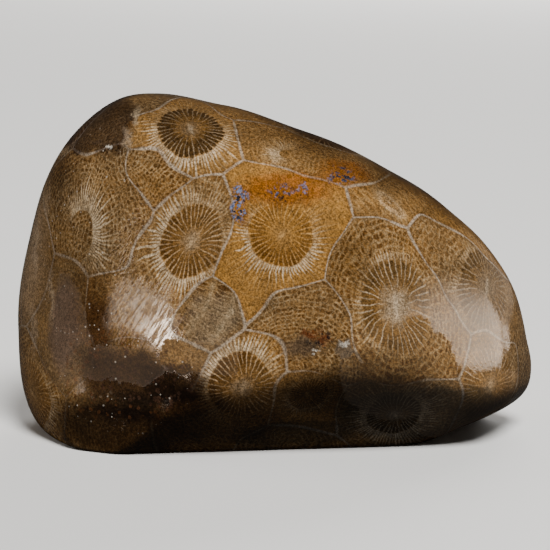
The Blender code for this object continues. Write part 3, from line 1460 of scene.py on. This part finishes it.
@dataclass(frozen=True)
class PolishedCoral:
    """The finish of the polished coral.

    Attributes:
        effects: The node groups.
        sight: The eye that the stains are placed for.
        palette: The stone's colours.
        ior: How strongly the polish bends light.
        cloudiness: How much the warmth wanders over a corallite.
        upward_shade: The share of its lightness that places facing upward keep under the painted
            shade on top.
        wall_thickness: Half the thickness of a wall, in millimetres.
        wall_cover: How strongly the walls show.
        wall_shade: How strongly the stone beside them darkens.
        glossiest: The roughness where the polish is best.
        least_glossy: The roughness where it is worst.
        dullness: The roughness where there is none.
        score_across: The way across the scoring.
        score_along: The way along it.
        scores_across: How many scores there are in a millimetre.
        scores_along: How many times they break off in a millimetre.
        septum_rise: How high the septa stand, in relief depths.
        pore_drop: How deep the pores go, in relief depths.
        score_rise: How high the scoring stands, in relief depths.
        relief_strength: How strongly the relief shows.
        relief_depth: The relief depth, in millimetres.
        scoring: The place that is scored.
        unpolished: The places that aren't polished.
        worn_walls: The places where the walls are worn away.
        patch_layers: The colour patches, lowest first: stains, tones, painted shade on the top rim
            and lower faces, painted light and painted glints.
    """

    effects: Effects
    sight: Sight
    palette: Palette = Palette()
    ior: float = 1.6
    cloudiness: float = 1.3
    upward_shade: float = 0.5
    wall_thickness: float = 0.105
    wall_cover: float = 0.85
    wall_shade: float = 0.25
    glossiest: float = 0.06
    least_glossy: float = 0.13
    dullness: float = 0.75
    score_across: Triple = (0.87, 0.0, -0.5)
    score_along: Triple = (0.5, 0.0, 0.87)
    scores_across: float = 3.7
    scores_along: float = 0.4
    septum_rise: float = 0.4
    pore_drop: float = 0.25
    score_rise: float = 1.2
    relief_strength: float = 0.3
    relief_depth: float = 0.03
    blue, black, white = tint(102, 117, 150), tint(36, 32, 30), tint(196, 186, 170)
    scoring: MaskedPatch = MaskedPatch((-16.4, -5.6), (6.4, 6.0, 6.0), None, 1.0, 0.4)
    unpolished: tuple[MaskedPatch, ...] = (
        MaskedPatch((-20.6, -11.0), (6.6, 7.0, 2.3), None, 0.95, 0.1, boxy=1.0),
        MaskedPatch((-9.6, -10.4), (4.9, 6.0, 2.4), None, 1.0, 0.08, boxy=1.0),
        MaskedPatch((-27.0, -7.5), (4.6, 8.0, 9.0), None, 0.8, 0.4),
        MaskedPatch((15.8, -12.7), (7.5, 9.0, 7.5), None, 1.0, 0.06),
        MaskedPatch((25.0, -17.0), (7.0, 9.0, 4.8), None, 1.0, 0.06, boxy=1.0),
    )
    worn_walls: tuple[MaskedPatch, ...] = (
        MaskedPatch((13.5, -12.6), (10.5, 5.0, 1.9), None, 1.0, 0.4),
        MaskedPatch((-18.0, -13.0), (10.0, 5.0, 6.5), None, 1.0, 0.4),
        MaskedPatch((-27.5, -8.0), (6.0, 8.0, 14.0), None, 0.8, 0.5),
        MaskedPatch((-18.4, 18.6), (1.6, 5.0, 2.6), None, 1.0, 0.5),
    )
    patch_layers: tuple[MaskedPatch, ...] = (
        MaskedPatch((1.3, 10.9), (7.6, 6.0, 2.6), tint(134, 74, 14), 0.75, 0.6),
        MaskedPatch((-4.4, 8.6), (1.3, 4.0, 3.0), tint(134, 82, 24), 0.6, 0.6),
        MaskedPatch((8.9, 13.1), (4.6, 5.0, 2.2), tint(134, 76, 18), 0.7, 0.6),
        # Partly the paler grey-brown of the far left, partly painted light where the key lamp
        # falls off on faces turned left.
        MaskedPatch((-31.0, 4.0), (5.4, 9.0, 15.0), tint(164, 138, 108), 0.6, 0.7),
        MaskedPatch((-29.0, 10.5), (1.0, 6.0, 3.6), tint(176, 150, 118), 0.5, 0.7),
        MaskedPatch((-8.2, -5.6), (4.4, 5.0, 4.2), tint(146, 128, 102), 0.35, 0.5),
        MaskedPatch((-26.8, -6.4), (3.4, 5.0, 7.0), tint(106, 84, 68), 0.85, 0.45),
        MaskedPatch((-22.5, -6.6), (2.5, 4.0, 5.0), tint(80, 52, 26), 0.8, 0.5),
        MaskedPatch((-19.4, -12.6), (7.6, 7.0, 4.4), tint(60, 39, 20), 0.92, 0.5, boxy=0.8),
        MaskedPatch((-12.8, -14.2), (5.6, 6.0, 3.2), tint(40, 24, 11), 0.92, 0.5, boxy=0.4),
        MaskedPatch((-16.0, -16.0), (7.0, 6.0, 1.6), tint(30, 18, 8), 0.85, 0.8),
        MaskedPatch((-18.0, -13.4), (10.0, 7.0, 4.6), tint(44, 28, 15), 0.7, 0.3, Grain.COARSE, 0.4),
        # Painted shade along the foot of the matrix, where the face turns down.
        tone_and_shade_wash((-18.0, -17.8), (11.0, 7.0, 2.2), tint(130, 114, 92), 0.9),
        # Painted glints: pale specks along the low crease on the left stand in for sparkles of
        # light on its edge.
        MaskedPatch((-21.0, -15.3), (5.6, 6.0, 0.8), tint(150, 128, 104), 0.55, 0.9, Grain.COARSE, 0.6),
        MaskedPatch((3.6, -9.1), (3.8, 4.0, 2.2), tint(82, 66, 50), 0.85, 0.7),
        MaskedPatch((4.6, -7.3), (1.8, 4.0, 0.7), tint(92, 44, 18), 0.8, 0.8),
        MaskedPatch((6.4, -8.4), (1.6, 4.0, 0.6), tint(92, 44, 18), 0.8, 0.8),
        MaskedPatch((8.9, -9.7), (1.3, 4.0, 1.6), tint(98, 82, 64), 0.9, 0.4),
        MaskedPatch((8.9, -8.8), (0.7, 4.0, 0.4), white, 0.6, 0.6),
        MaskedPatch((-18.0, 20.2), (0.7, 5.0, 1.7), tint(190, 166, 132), 0.8, 0.9),
        MaskedPatch((-18.7, 17.4), (0.7, 5.0, 1.7), tint(190, 166, 132), 0.8, 0.9),
        MaskedPatch((-22.4, 16.6), (3.0, 6.0, 0.5), tint(118, 96, 70), 0.6, 0.9),
        MaskedPatch((-30.4, 3.4), (0.6, 8.0, 6.0), tint(176, 150, 120), 0.6, 0.9),
        MaskedPatch((-28.6, -2.6), (0.5, 8.0, 5.0), tint(164, 140, 112), 0.6, 0.9),
        MaskedPatch((-30.8, -7.0), (0.6, 8.0, 5.0), tint(164, 140, 112), 0.5, 0.9),
        tone_and_shade_wash((-23.0, 19.2), (5.8, 9.0, 4.0), tint(158, 154, 158), 0.25, 1.0),
        # Painted shade along the top rim: this wash and the next five darken the upper edge of the
        # broad face, across the top and round to both ends.
        tone_and_shade_wash((2.0, 19.4), (25.0, 9.0, 3.6), tint(176, 172, 164), 0.9),
        tone_and_shade_wash((18.0, 13.4), (12.0, 9.0, 4.4), tint(176, 170, 162), 0.9),
        tone_and_shade_wash((6.0, 17.2), (8.5, 9.0, 4.2), tint(176, 168, 150), 0.9),
        tone_and_shade_wash((14.5, 12.8), (7.5, 9.0, 4.0), tint(196, 190, 174), 0.9),
        tone_and_shade_wash((21.0, 9.0), (6.5, 9.0, 4.2), tint(192, 188, 176), 0.9),
        tone_and_shade_wash((-27.6, 13.6), (6.0, 9.0, 7.0), tint(186, 176, 160), 0.8),
        tone_and_shade_wash((-23.6, -4.0), (4.6, 7.0, 7.0), tint(208, 198, 184), 0.7),
        # Painted shade on the lower faces, which turn down away from the lamps: this wash and the
        # next two.
        tone_and_shade_wash((-11.0, -16.4), (6.4, 6.0, 3.0), tint(134, 120, 100), 0.6),
        tone_and_shade_wash((-20.0, -19.4), (15.0, 9.0, 5.0), tint(108, 100, 88), 0.5),
        tone_and_shade_wash((11.0, -15.0), (17.0, 8.0, 6.8), tint(164, 158, 142), 0.9),
        # Partly the bluish grey of the dark star's stone, partly painted shade on the downturned
        # lower right.
        tone_and_shade_wash((18.5, -17.6), (11.5, 8.0, 4.3), tint(190, 200, 216), 0.25, 0.6),
        # Painted shade on the lower face below the bud.
        tone_and_shade_wash((4.6, -14.6), (5.0, 6.0, 4.4), tint(196, 190, 178), 0.7),
        tone_and_shade_wash((9.8, 2.0), (4.6, 8.0, 6.0), tint(214, 212, 206), 0.9),
        # Painted shade where the broad face starts to turn down at the crease.
        tone_and_shade_wash((14.0, -11.0), (9.0, 8.0, 3.2), tint(208, 206, 198), 0.9),
        # Painted shade on the lower faces: this wash and the next two, from the lower edge to the
        # tip on the right.
        tone_and_shade_wash((2.5, -20.2), (9.0, 6.0, 2.6), tint(172, 178, 188), 0.4),
        tone_and_shade_wash((-5.0, -19.0), (9.0, 7.0, 4.6), tint(182, 174, 158), 0.6),
        tone_and_shade_wash((27.0, -17.0), (7.0, 9.0, 4.2), tint(150, 148, 136), 0.7),
        MaskedPatch((-4.2, 10.6), (1.5, 4.0, 1.2), blue, 0.9, 0.5, Grain.FINE, 1.0),
        MaskedPatch((-4.9, 8.3), (1.2, 4.0, 1.7), blue, 0.9, 0.5, Grain.FINE, 1.0),
        MaskedPatch((-4.7, 9.0), (1.2, 4.0, 2.8), black, 0.9, 0.6, Grain.FINE, 0.3),
        MaskedPatch((0.9, 10.7), (2.4, 4.0, 0.7), blue, 0.85, 0.7, Grain.FINE, 0.5),
        MaskedPatch((3.4, 11.1), (0.6, 3.0, 0.4), blue, 0.8, 0.6, Grain.FINE, 0.9),
        MaskedPatch((1.5, 10.1), (4.0, 4.0, 1.3), black, 0.85, 0.7, Grain.FINE, 0.35),
        MaskedPatch((8.3, 12.6), (2.2, 4.0, 1.3), blue, 0.9, 0.6, Grain.FINE, 0.6),
        MaskedPatch((8.5, 12.7), (2.2, 4.0, 1.4), black, 0.9, 0.7, Grain.FINE, 0.55),
        MaskedPatch((5.5, -8.2), (3.2, 4.0, 1.4), black, 0.8, 0.7, Grain.FINE, 0.25),
        MaskedPatch((5.0, -10.0), (1.7, 4.0, 0.45), white, 0.8, 0.7, Grain.COARSE, 0.6),
        MaskedPatch((-20.0, -12.5), (13.0, 8.0, 7.0), tint(104, 62, 30), 0.7, 0.5, Grain.COARSE, 0.35),
        MaskedPatch((-17.5, -12.8), (10.0, 6.0, 4.6), black, 0.6, 0.4, Grain.COARSE, 0.35),
        # Painted glints: tiny white dots that stand in for sparkles of light on the polish, in the
        # matrix and over the left.
        MaskedPatch((-20.0, -12.0), (13.0, 8.0, 9.0), white, 0.75, 0.3, Grain.GLINT, 0.25),
        MaskedPatch((-25.0, 4.0), (10.0, 9.0, 20.0), white, 0.6, 0.4, Grain.GLINT, 0.2),
        MaskedPatch((-21.2, 16.3), (0.6, 3.0, 0.35), white, 0.9, 0.6),
    )

    def _ground(self, bench: Bench) -> Ground:
        """Reads what the mesh carries and lays out the patterns.

        Args:
            bench: The material's bench.

        Returns:
            What the layers of the finish share.
        """
        place = bench.vector("SCALE", bench.add("ShaderNodeTexCoord").outputs["Object"], 1 / MM)
        calice = bench.attribute("calice")
        depth, flare, reach = bench.split(bench.attribute("eye_look"))
        core_size, pale, width = bench.split(bench.attribute("core_look"))
        pores, amber, seed = bench.split(bench.attribute("net_look"))
        row, dash, lines = bench.split(bench.attribute("net_make"))
        return Ground(
            place=place, calice=calice, depth=depth, flare=flare, pale=pale, pores=pores,
            amber=amber, lines=lines,
            star=bench.group(self.effects.star, place=calice, width=width, seed=seed,
                             reach=reach, core_size=core_size).outputs,
            net=bench.group(self.effects.net, place=calice, seed=seed, row=row,
                            dash=dash).outputs,
            wall=bench.group(self.effects.wall, walls=bench.attribute("walls"), place=place,
                             thickness=self.wall_thickness).outputs,
            cloudy=bench.noise(place, 0.12, 3.0),
            patchy=bench.noise(place, 0.5, 3.0, 0.6),
            fine=bench.noise(place, 2.6, 3.0, 0.7),
        )

    def _corallites(self, bench: Bench, ground: Ground) -> tuple[Socket, Socket]:
        """Colours the stars and the net between them.

        Args:
            bench: The material's bench.
            ground: What the layers share.

        Returns:
            The colour so far, and the colour of the pores.
        """
        colours, star, net = self.palette, ground.star, ground.net
        warmth = bench.calc("MULTIPLY_ADD", bench.minus(ground.cloudy, 0.5), self.cloudiness,
                            ground.amber, clamp=True)
        stone = bench.blend(warmth, colours.brown, colours.amber)
        pore = bench.blend(warmth, colours.brown_pore, colours.amber_pore)
        thread = bench.blend(warmth, colours.brown_thread, colours.amber_thread)
        gap = bench.blend(ground.pale, colours.amber_gap, colours.grey_gap)
        septum = bench.blend(bench.calc("MAXIMUM", ground.pale, bench.minus(0.8, warmth)),
                             colours.amber_septum, colours.pale_septum)

        has_eye = bench.ease(ground.depth, 0.0, 0.2)
        inside = bench.times(bench.fade(star["Radius"], 0.98, 1.08), has_eye)
        shown = bench.times(bench.times(ground.pores, bench.minus(1.0, inside)),
                            bench.ease(ground.patchy, 0.3, 0.6, 0.6, 1.0))
        colour = bench.blend(bench.times(net["Ridge"], shown), stone, thread)
        colour = bench.blend(bench.times(net["Pore"], shown), colour, pore)

        x, y, _ = bench.split(ground.calice)
        spread = bench.vector("DOT_PRODUCT", bench.vector("NORMALIZE", bench.gather(x, y, 0.0)),
                              bench.attribute("lit_side"))
        deep = bench.times(ground.depth, bench.scaled(spread, 0.6, 1.0))
        colour = bench.blend(bench.times(star["Gap"], deep), colour, gap)
        core = bench.blend(ground.pale, bench.blend(0.4, stone, thread), colours.pale_septum)
        mesh = bench.noise(ground.place, 4.0, 2.0, 0.6)
        core = bench.blend(bench.ease(mesh, 0.5, 0.66, 0.0, 0.75), core, gap)
        core = bench.blend(bench.ease(ground.lines, 0.3, 0.75, 0.75, 0.0), core, gap)
        colour = bench.blend(bench.times(star["Core"], bench.times(has_eye, 0.6)), colour, core)
        septa = bench.times(bench.times(star["Septum"], has_eye), ground.lines)
        colour = bench.blend(septa, colour, septum)

        white = bench.calc("MULTIPLY", ground.flare, bench.plus(0.75, spread), clamp=True)
        white = bench.times(white, bench.ease(ground.patchy, 0.3, 0.6, 0.45, 1.0))
        costa = bench.times(star["Costa"], bench.ease(white, 0.0, 0.6, 0.1, 0.6))
        colour = bench.blend(costa, colour, thread)
        comb = bench.times(star["Comb"], bench.ease(white, 0.0, 0.7, 0.0, 0.95))
        colour = bench.blend(comb, colour, bench.blend(white, thread, colours.flare))
        streak = bench.times(star["Streak"], bench.times(
            has_eye, bench.ease(ground.lines, 0.2, 0.8, 0.3, 0.65)))
        return bench.blend(streak, colour, septum), pore

    def _layered_colour(self, bench: Bench, ground: Ground, brush: Brush, colour: Socket,
                 pore: Socket) -> Socket:
        """Lays the walls and the patches over the corallites, painted shade and painted light
        among them, darkens upward faces with painted shade, and makes it all uneven.

        Args:
            bench: The material's bench.
            ground: What the layers share.
            brush: The brush for the patches, painted shade and painted light among them.
            colour: The colour so far.
            pore: The colour of the pores.

        Returns:
            The stone's colour.
        """
        fence = bench.times(ground.wall["Wall"], self.wall_cover)
        for masked_patch in self.worn_walls:
            fence = bench.times(fence, bench.minus(1.0, brush.cover(masked_patch)))
        colour = bench.blend(bench.times(ground.wall["Shade"], self.wall_shade), colour, pore)
        colour = bench.blend(fence, colour, self.palette.wall)
        for masked_patch in self.patch_layers:
            mode = "MULTIPLY" if masked_patch.multiplies else "MIX"
            colour = bench.blend(brush.cover(masked_patch), colour, masked_patch.colour, mode)

        grain = bench.noise(ground.place, 5.2, 1.0, 0.5)
        lit = bench.ease(ground.fine, 0.25, 0.75, 0.62, 1.38)
        lit = bench.times(lit, bench.ease(grain, 0.25, 0.75, 0.66, 1.34))
        lit = bench.times(lit, bench.ease(ground.patchy, 0.3, 0.7, 0.86, 1.14))
        # Painted shade: places that face upward keep only part of their lightness.
        _, _, upward = bench.split(bench.add("ShaderNodeNewGeometry").outputs["Normal"])
        lit = bench.times(lit, bench.ease(upward, 0.5, 0.9, 1.0, self.upward_shade))
        return bench.vector("SCALE", colour, lit)

    def _polish(self, bench: Bench, ground: Ground, brush: Brush) -> tuple[Socket, Socket, Socket]:
        """Lays out how well each place is polished.

        Args:
            bench: The material's bench.
            ground: What the layers share.
            brush: The brush for the duller and the scored places.

        Returns:
            The roughness, the streaks of the scoring, and how much each place is scored.
        """
        across = bench.times(bench.vector("DOT_PRODUCT", ground.place, self.score_across),
                             self.scores_across)
        along = bench.times(bench.vector("DOT_PRODUCT", ground.place, self.score_along),
                            self.scores_along)
        streaks = bench.noise(bench.gather(across, along, 0.0), 1.0, 3.0, 0.6)
        scored = brush.cover(self.scoring)
        rough = bench.ease(ground.fine, 0.3, 0.8, self.glossiest, self.least_glossy)
        rough = bench.scaled(scored, bench.ease(streaks, 0.45, 0.56, -0.03, 0.4), rough)
        for masked_patch in self.unpolished:
            rough = bench.calc("MAXIMUM", rough, bench.times(brush.cover(masked_patch), self.dullness))
        return rough, streaks, scored

    def material(self, stone_points: Array, stone_normals: Array) -> bpy.types.Material:
        """Builds the material.

        Args:
            stone_points: The surface's points, in millimetres.
            stone_normals: The way that the surface faces at each one.

        Returns:
            The material.
        """
        patch_layers = (self.scoring, *self.unpolished, *self.worn_walls, *self.patch_layers)
        spots = [masked_patch.centre for masked_patch in patch_layers]
        rows = self.sight.nearest(np.array(spots), stone_points, stone_normals)
        centres = {spot: Vector(stone_points[row]) for spot, row in zip(spots, rows)}

        material = bpy.data.materials.new("polished_coral")
        material.use_nodes = True
        bench = Bench(material.node_tree)
        shader = material.node_tree.nodes["Principled BSDF"]
        shader.inputs["IOR"].default_value = self.ior

        ground = self._ground(bench)
        colour, pore = self._corallites(bench, ground)
        brush = Brush(bench, self.effects, ground.place, centres)
        bench.feed(shader.inputs["Base Color"],
                   self._layered_colour(bench, ground, brush, colour, pore))
        rough, streaks, scored = self._polish(bench, ground, brush)
        bench.feed(shader.inputs["Roughness"], rough)

        relief = bench.minus(bench.times(ground.star["Septum"], self.septum_rise),
                             bench.times(ground.net["Pore"], self.pore_drop))
        relief = bench.plus(relief, bench.times(bench.times(streaks, scored), self.score_rise))
        bump = bench.add("ShaderNodeBump")
        bench.feed(bump.inputs["Strength"], self.relief_strength)
        bench.feed(bump.inputs["Distance"], self.relief_depth * MM)
        bench.feed(bump.inputs["Height"], relief)
        bench.feed(shader.inputs["Normal"], bump.outputs["Normal"])
        return material


@dataclass
class CoralHead:
    """The stone itself, as one fine mesh that stands for the plain solid.

    Attributes:
        form: Its form.
        skin: The box that its mesh is drawn out from.
        warp_seed: Seed of the unevenness that the colony grew with.
    """

    form: StoneForm = StoneForm()
    skin: BoxSkin = BoxSkin()
    warp_seed: int = 3

    def build(self, colony: Colony, finish: PolishedCoral) -> bpy.types.Object:
        """Builds and dresses the stone.

        Args:
            colony: The corallites to chart on it.
            finish: The finish to give it.

        Returns:
            The stone's object.
        """
        box_points, rows = self.skin.points()
        quads, sheet_places = self.skin.quads(rows)
        points = self._fit(self.form.surface(unit(box_points)))
        mesh = bpy.data.meshes.new("coral_head_surface")
        mesh.from_pydata((points * MM).tolist(), [], quads.tolist())
        mesh.shade_smooth()
        normals = np.empty(len(points) * 3)
        mesh.vertices.foreach_get("normal", normals)
        normals = normals.reshape(-1, 3)
        colony.grow(points, normals)
        for name, values in colony.chart(points, quads, Warp(self.warp_seed)).items():
            domain = "CORNER" if values.ndim == 3 else "FACE"
            layer = mesh.attributes.new(name, "FLOAT_VECTOR", domain)
            layer.data.foreach_set("vector", values.astype(np.float32).ravel())
        sheet = mesh.uv_layers.new(name="OFBake")
        sheet.data.foreach_set("uv", sheet_places.astype(np.float32).ravel())
        mesh.materials.append(finish.material(points, normals))
        return show("coral_head_surface", mesh)

    @staticmethod
    def _fit(points: Array) -> Array:
        """Sets the surface exactly in the solid's box.

        Args:
            points: The surface's points, in millimetres.

        Returns:
            The points in the box, in millimetres.
        """
        low, high = (np.array(corner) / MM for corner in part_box(NODE))
        own_low, own_high = points.min(axis=0), points.max(axis=0)
        return low + (points - own_low) * (high - low) / (own_high - own_low)


@dataclass(frozen=True)
class Lamp:
    """A large soft lamp that lights the stone evenly and doesn't mirror in its polish.

    Attributes:
        name: A word for it.
        way: The way from the stone to it.
        distance: How far it is, in metres.
        size: Its width, in metres.
        power: Its power, in watts.
        aim: The place on the stone that it points at, in metres.
    """

    name: str
    way: Triple
    distance: float
    size: float
    power: float
    aim: Triple = (0.0, 0.0, 0.02)

    def build(self) -> None:
        """Hangs the lamp."""
        lamp = bpy.data.lights.new(self.name, "AREA")
        lamp.shape = "DISK"
        lamp.size = self.size
        lamp.energy = self.power
        hung = show(self.name, lamp)
        way = Vector(self.way).normalized()
        hung.location = Vector(self.aim) + way * self.distance
        hung.rotation_euler = way.to_track_quat("Z", "Y").to_euler()
        hung.visible_glossy = False


@dataclass(frozen=True)
class Panel:
    """A glowing panel that shows only in the polish, as a highlight.

    Attributes:
        name: A word for it.
        about: The place on the stone that its bearings are taken from, in millimetres.
        distance: How far it is from there, in metres.
        strength: How brightly it glows.
        heart: The bearing and elevation of its middle, in degrees. Bearings run from the front
            toward the right.
        rim: The bearing, the elevation and the glow, from 0 to 1, of each point of its rim.
        rings: How many rings it is ruled into.
        fall: How steeply the glow falls toward the rim's dimmer points, as a power.
        colour: The colour that it glows in.
    """

    name: str
    about: Triple
    distance: float
    strength: float
    heart: Pair
    rim: tuple[Triple, ...]
    rings: int = 6
    fall: float = 2.0
    colour: tuple = (1.0, 0.82, 0.66, 1.0)

    def place(self, bearing: float, height: float) -> Vector:
        """Finds a place on the panel.

        Args:
            bearing: Its bearing, in degrees.
            height: Its elevation, in degrees.

        Returns:
            The place, in metres.
        """
        turned, rise = math.radians(bearing), math.radians(height)
        way = Vector((math.sin(turned) * math.cos(rise), -math.cos(turned) * math.cos(rise),
                      math.sin(rise)))
        return Vector(self.about) * MM + way * self.distance

    def build(self) -> None:
        """Hangs the panel."""
        points, glows, faces = [self.place(*self.heart)], [1.0], []
        count = len(self.rim)
        middle, level = self.heart
        for ring in range(1, self.rings + 1):
            share = ring / self.rings
            for bearing, height, glow in self.rim:
                points.append(self.place(middle + (bearing - middle) * share,
                                         level + (height - level) * share))
                glows.append(1 + (glow - 1) * share)
            for step in range(count):
                here, there = step, (step + 1) % count
                last, start = 1 + (ring - 1) * count, 1 + (ring - 2) * count
                if ring == 1:
                    faces.append((0, 1 + here, 1 + there))
                else:
                    faces.append((start + here, last + here, last + there, start + there))
        mesh = bpy.data.meshes.new(self.name)
        mesh.from_pydata(points, [], faces)
        mesh.attributes.new("glow", "FLOAT", "POINT").data.foreach_set("value", glows)
        mesh.materials.append(self.glow())
        panel = show(self.name, mesh)
        panel.visible_camera = False
        panel.visible_diffuse = False
        panel.visible_shadow = False

    def glow(self) -> bpy.types.Material:
        """Builds a glow that fades toward the dimmer points of the rim.

        Returns:
            The material.
        """
        material = bpy.data.materials.new(self.name)
        material.use_nodes = True
        tree = material.node_tree
        tree.nodes.clear()
        bench = Bench(tree)
        share = bench.add("ShaderNodeAttribute", attribute_name="glow").outputs["Fac"]
        glow = bench.add("ShaderNodeEmission")
        bench.feed(glow.inputs["Color"], self.colour)
        bench.feed(glow.inputs["Strength"],
                   bench.times(bench.calc("POWER", share, self.fall), self.strength))
        tree.links.new(glow.outputs[0], bench.add("ShaderNodeOutputMaterial").inputs[0])
        return material


@dataclass
class Studio:
    """The floor, the lights, the surroundings and the camera.

    Attributes:
        sight: The eye that the camera stands for.
        floor_size: The side of the floor, in metres.
        floor_colour: The floor's colour as it is seen.
        floor_bounce: The colour that it throws back at the stone.
        sky_colour: The colour of the surroundings.
        sky_seen: How much more they glow where they are seen.
        sky_glow: How strongly they light the stone.
        camera_start: The nearest that the camera sees, in metres.
        lamps: The lamps.
        panels: The panels.
    """

    sight: Sight
    floor_size: float = 8.0
    floor_colour: tuple = tint(232, 230, 226)
    floor_bounce: tuple = tint(52, 50, 48)
    sky_colour: tuple = tint(228, 228, 228)
    sky_seen: float = 1.24
    sky_glow: float = 0.035
    camera_start: float = 0.01
    lamps: tuple[Lamp, ...] = (
        Lamp("key_lamp", (0.22, -0.52, 0.83), 1.5, 0.6, 35.5),
        Lamp("side_lamp", (-0.95, 0.28, 0.2), 1.5, 0.8, 7.0),
        Lamp("back_lamp", (0.3, 0.9, 0.34), 1.5, 1.2, 24.0),
    )
    panels: tuple[Panel, ...] = (
        Panel(
            "left_strip", (-14.0, -15.0, 17.0), 0.48, 46.0, (-34.0, 1.2),
            ((-26.0, 1.0, 1.0), (-25.8, 5.5, 1.0), (-30.0, 4.6, 0.8), (-36.0, 3.2, 0.7),
             (-42.0, 1.8, 0.6), (-47.0, 0.2, 0.5), (-46.0, -2.0, 0.8), (-36.0, -2.0, 1.0),
             (-29.0, -1.0, 1.0)),
        ),
        Panel(
            "left_veil", (-14.0, -15.0, 17.0), 0.5, 9.5, (-42.0, 4.0),
            ((-26.2, 2.0, 1.0), (-25.8, 8.0, 1.0), (-33.0, 9.0, 0.95), (-40.0, 9.0, 0.9),
             (-46.0, 8.2, 0.8), (-51.0, 6.0, 0.75), (-55.5, 3.0, 0.6), (-56.5, -1.0, 0.5),
             (-52.0, -2.5, 0.8), (-44.0, -2.5, 0.9), (-33.0, -1.0, 1.0)),
        ),
        Panel(
            "right_panel", (22.0, -12.0, 15.0), 0.5, 7.4, (70.0, 6.5),
            ((40.0, 7.0, 0.9), (47.0, 7.5, 1.0), (53.0, 7.5, 1.0), (55.5, 7.5, 1.0),
             (61.0, 5.5, 1.0), (67.0, 3.5, 1.0), (78.0, 1.5, 1.0), (100.0, -2.5, 1.0),
             (122.0, -5.0, 1.0),
             (120.0, -1.5, 0.8), (103.0, 2.0, 1.0), (92.0, 6.0, 0.9), (84.0, 11.0, 0.5),
             (78.0, 17.0, 0.2), (70.0, 22.0, 0.0), (56.0, 21.0, 0.15), (46.0, 19.0, 0.3),
             (39.0, 14.0, 0.5)),
        ),
        Panel(
            "right_veil", (28.0, -6.0, 15.0), 0.5, 0.9, (110.0, 8.0),
            ((87.0, -2.0, 1.0), (84.0, 8.0, 1.0), (78.0, 20.0, 0.9), (76.0, 34.0, 0.2),
             (110.0, 32.0, 0.2), (150.0, 20.0, 0.4), (158.0, -4.0, 0.6), (120.0, -6.0, 0.9)),
        ),
    )

    def build_camera(self) -> None:
        """Sets the camera where the sight is."""
        _, _, toward = self.sight.axes()
        lens = bpy.data.cameras.new("sight")
        lens.lens = self.sight.lens
        lens.clip_start = self.camera_start
        camera = show("sight", lens)
        camera.location = (np.array(self.sight.aim) + toward * self.sight.distance) * MM
        camera.rotation_euler = Vector(toward).to_track_quat("Z", "Y").to_euler()
        bpy.context.scene.camera = camera

    def build_floor(self) -> None:
        """Lays a plain pale floor, which throws little light back at the stone."""
        half = self.floor_size / 2
        mesh = bpy.data.meshes.new("floor")
        corners = ((-half, -half, 0.0), (half, -half, 0.0), (half, half, 0.0), (-half, half, 0.0))
        mesh.from_pydata(corners, [], [(0, 1, 2, 3)])
        material = bpy.data.materials.new("pale_floor")
        material.use_nodes = True
        bench = Bench(material.node_tree)
        shader = material.node_tree.nodes["Principled BSDF"]
        seen = bench.add("ShaderNodeLightPath").outputs["Is Camera Ray"]
        bench.feed(shader.inputs["Base Color"],
                   bench.blend(seen, self.floor_bounce, self.floor_colour))
        shader.inputs["Roughness"].default_value = 1.0
        shader.inputs["Specular IOR Level"].default_value = 0.0
        mesh.materials.append(material)
        floor = show("floor", mesh)

    def build_surroundings(self) -> None:
        """Closes the studio in surroundings that look pale and give off little light."""
        world = bpy.data.worlds.new("studio")
        world.use_nodes = True
        bench = Bench(world.node_tree)
        background = world.node_tree.nodes["Background"]
        background.inputs["Color"].default_value = self.sky_colour
        seen = bench.add("ShaderNodeLightPath").outputs["Is Camera Ray"]
        bench.feed(background.inputs["Strength"],
                   bench.scaled(seen, self.sky_seen, self.sky_glow))
        bpy.context.scene.world = world

    def build(self) -> None:
        """Builds the whole studio."""
        self.build_floor()
        self.build_surroundings()
        for light in (*self.lamps, *self.panels):
            light.build()


def main() -> None:
    """Builds the camera, the stone and the studio in order."""
    logging.basicConfig(level=logging.INFO, format="%(name)s: %(message)s")
    sight = Sight()
    studio = Studio(sight)
    studio.build_camera()

    stone = CoralHead().build(Colony(sight), PolishedCoral(Effects(), sight))
    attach(stone, BODY)
    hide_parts(NODE)
    LOG.info("%s has %d faces", stone.name, len(stone.data.polygons))

    studio.build()
    LOG.info("studio is lit by %d lamps and %d panels", len(studio.lamps), len(studio.panels))


if __name__ == "__main__":
    main()
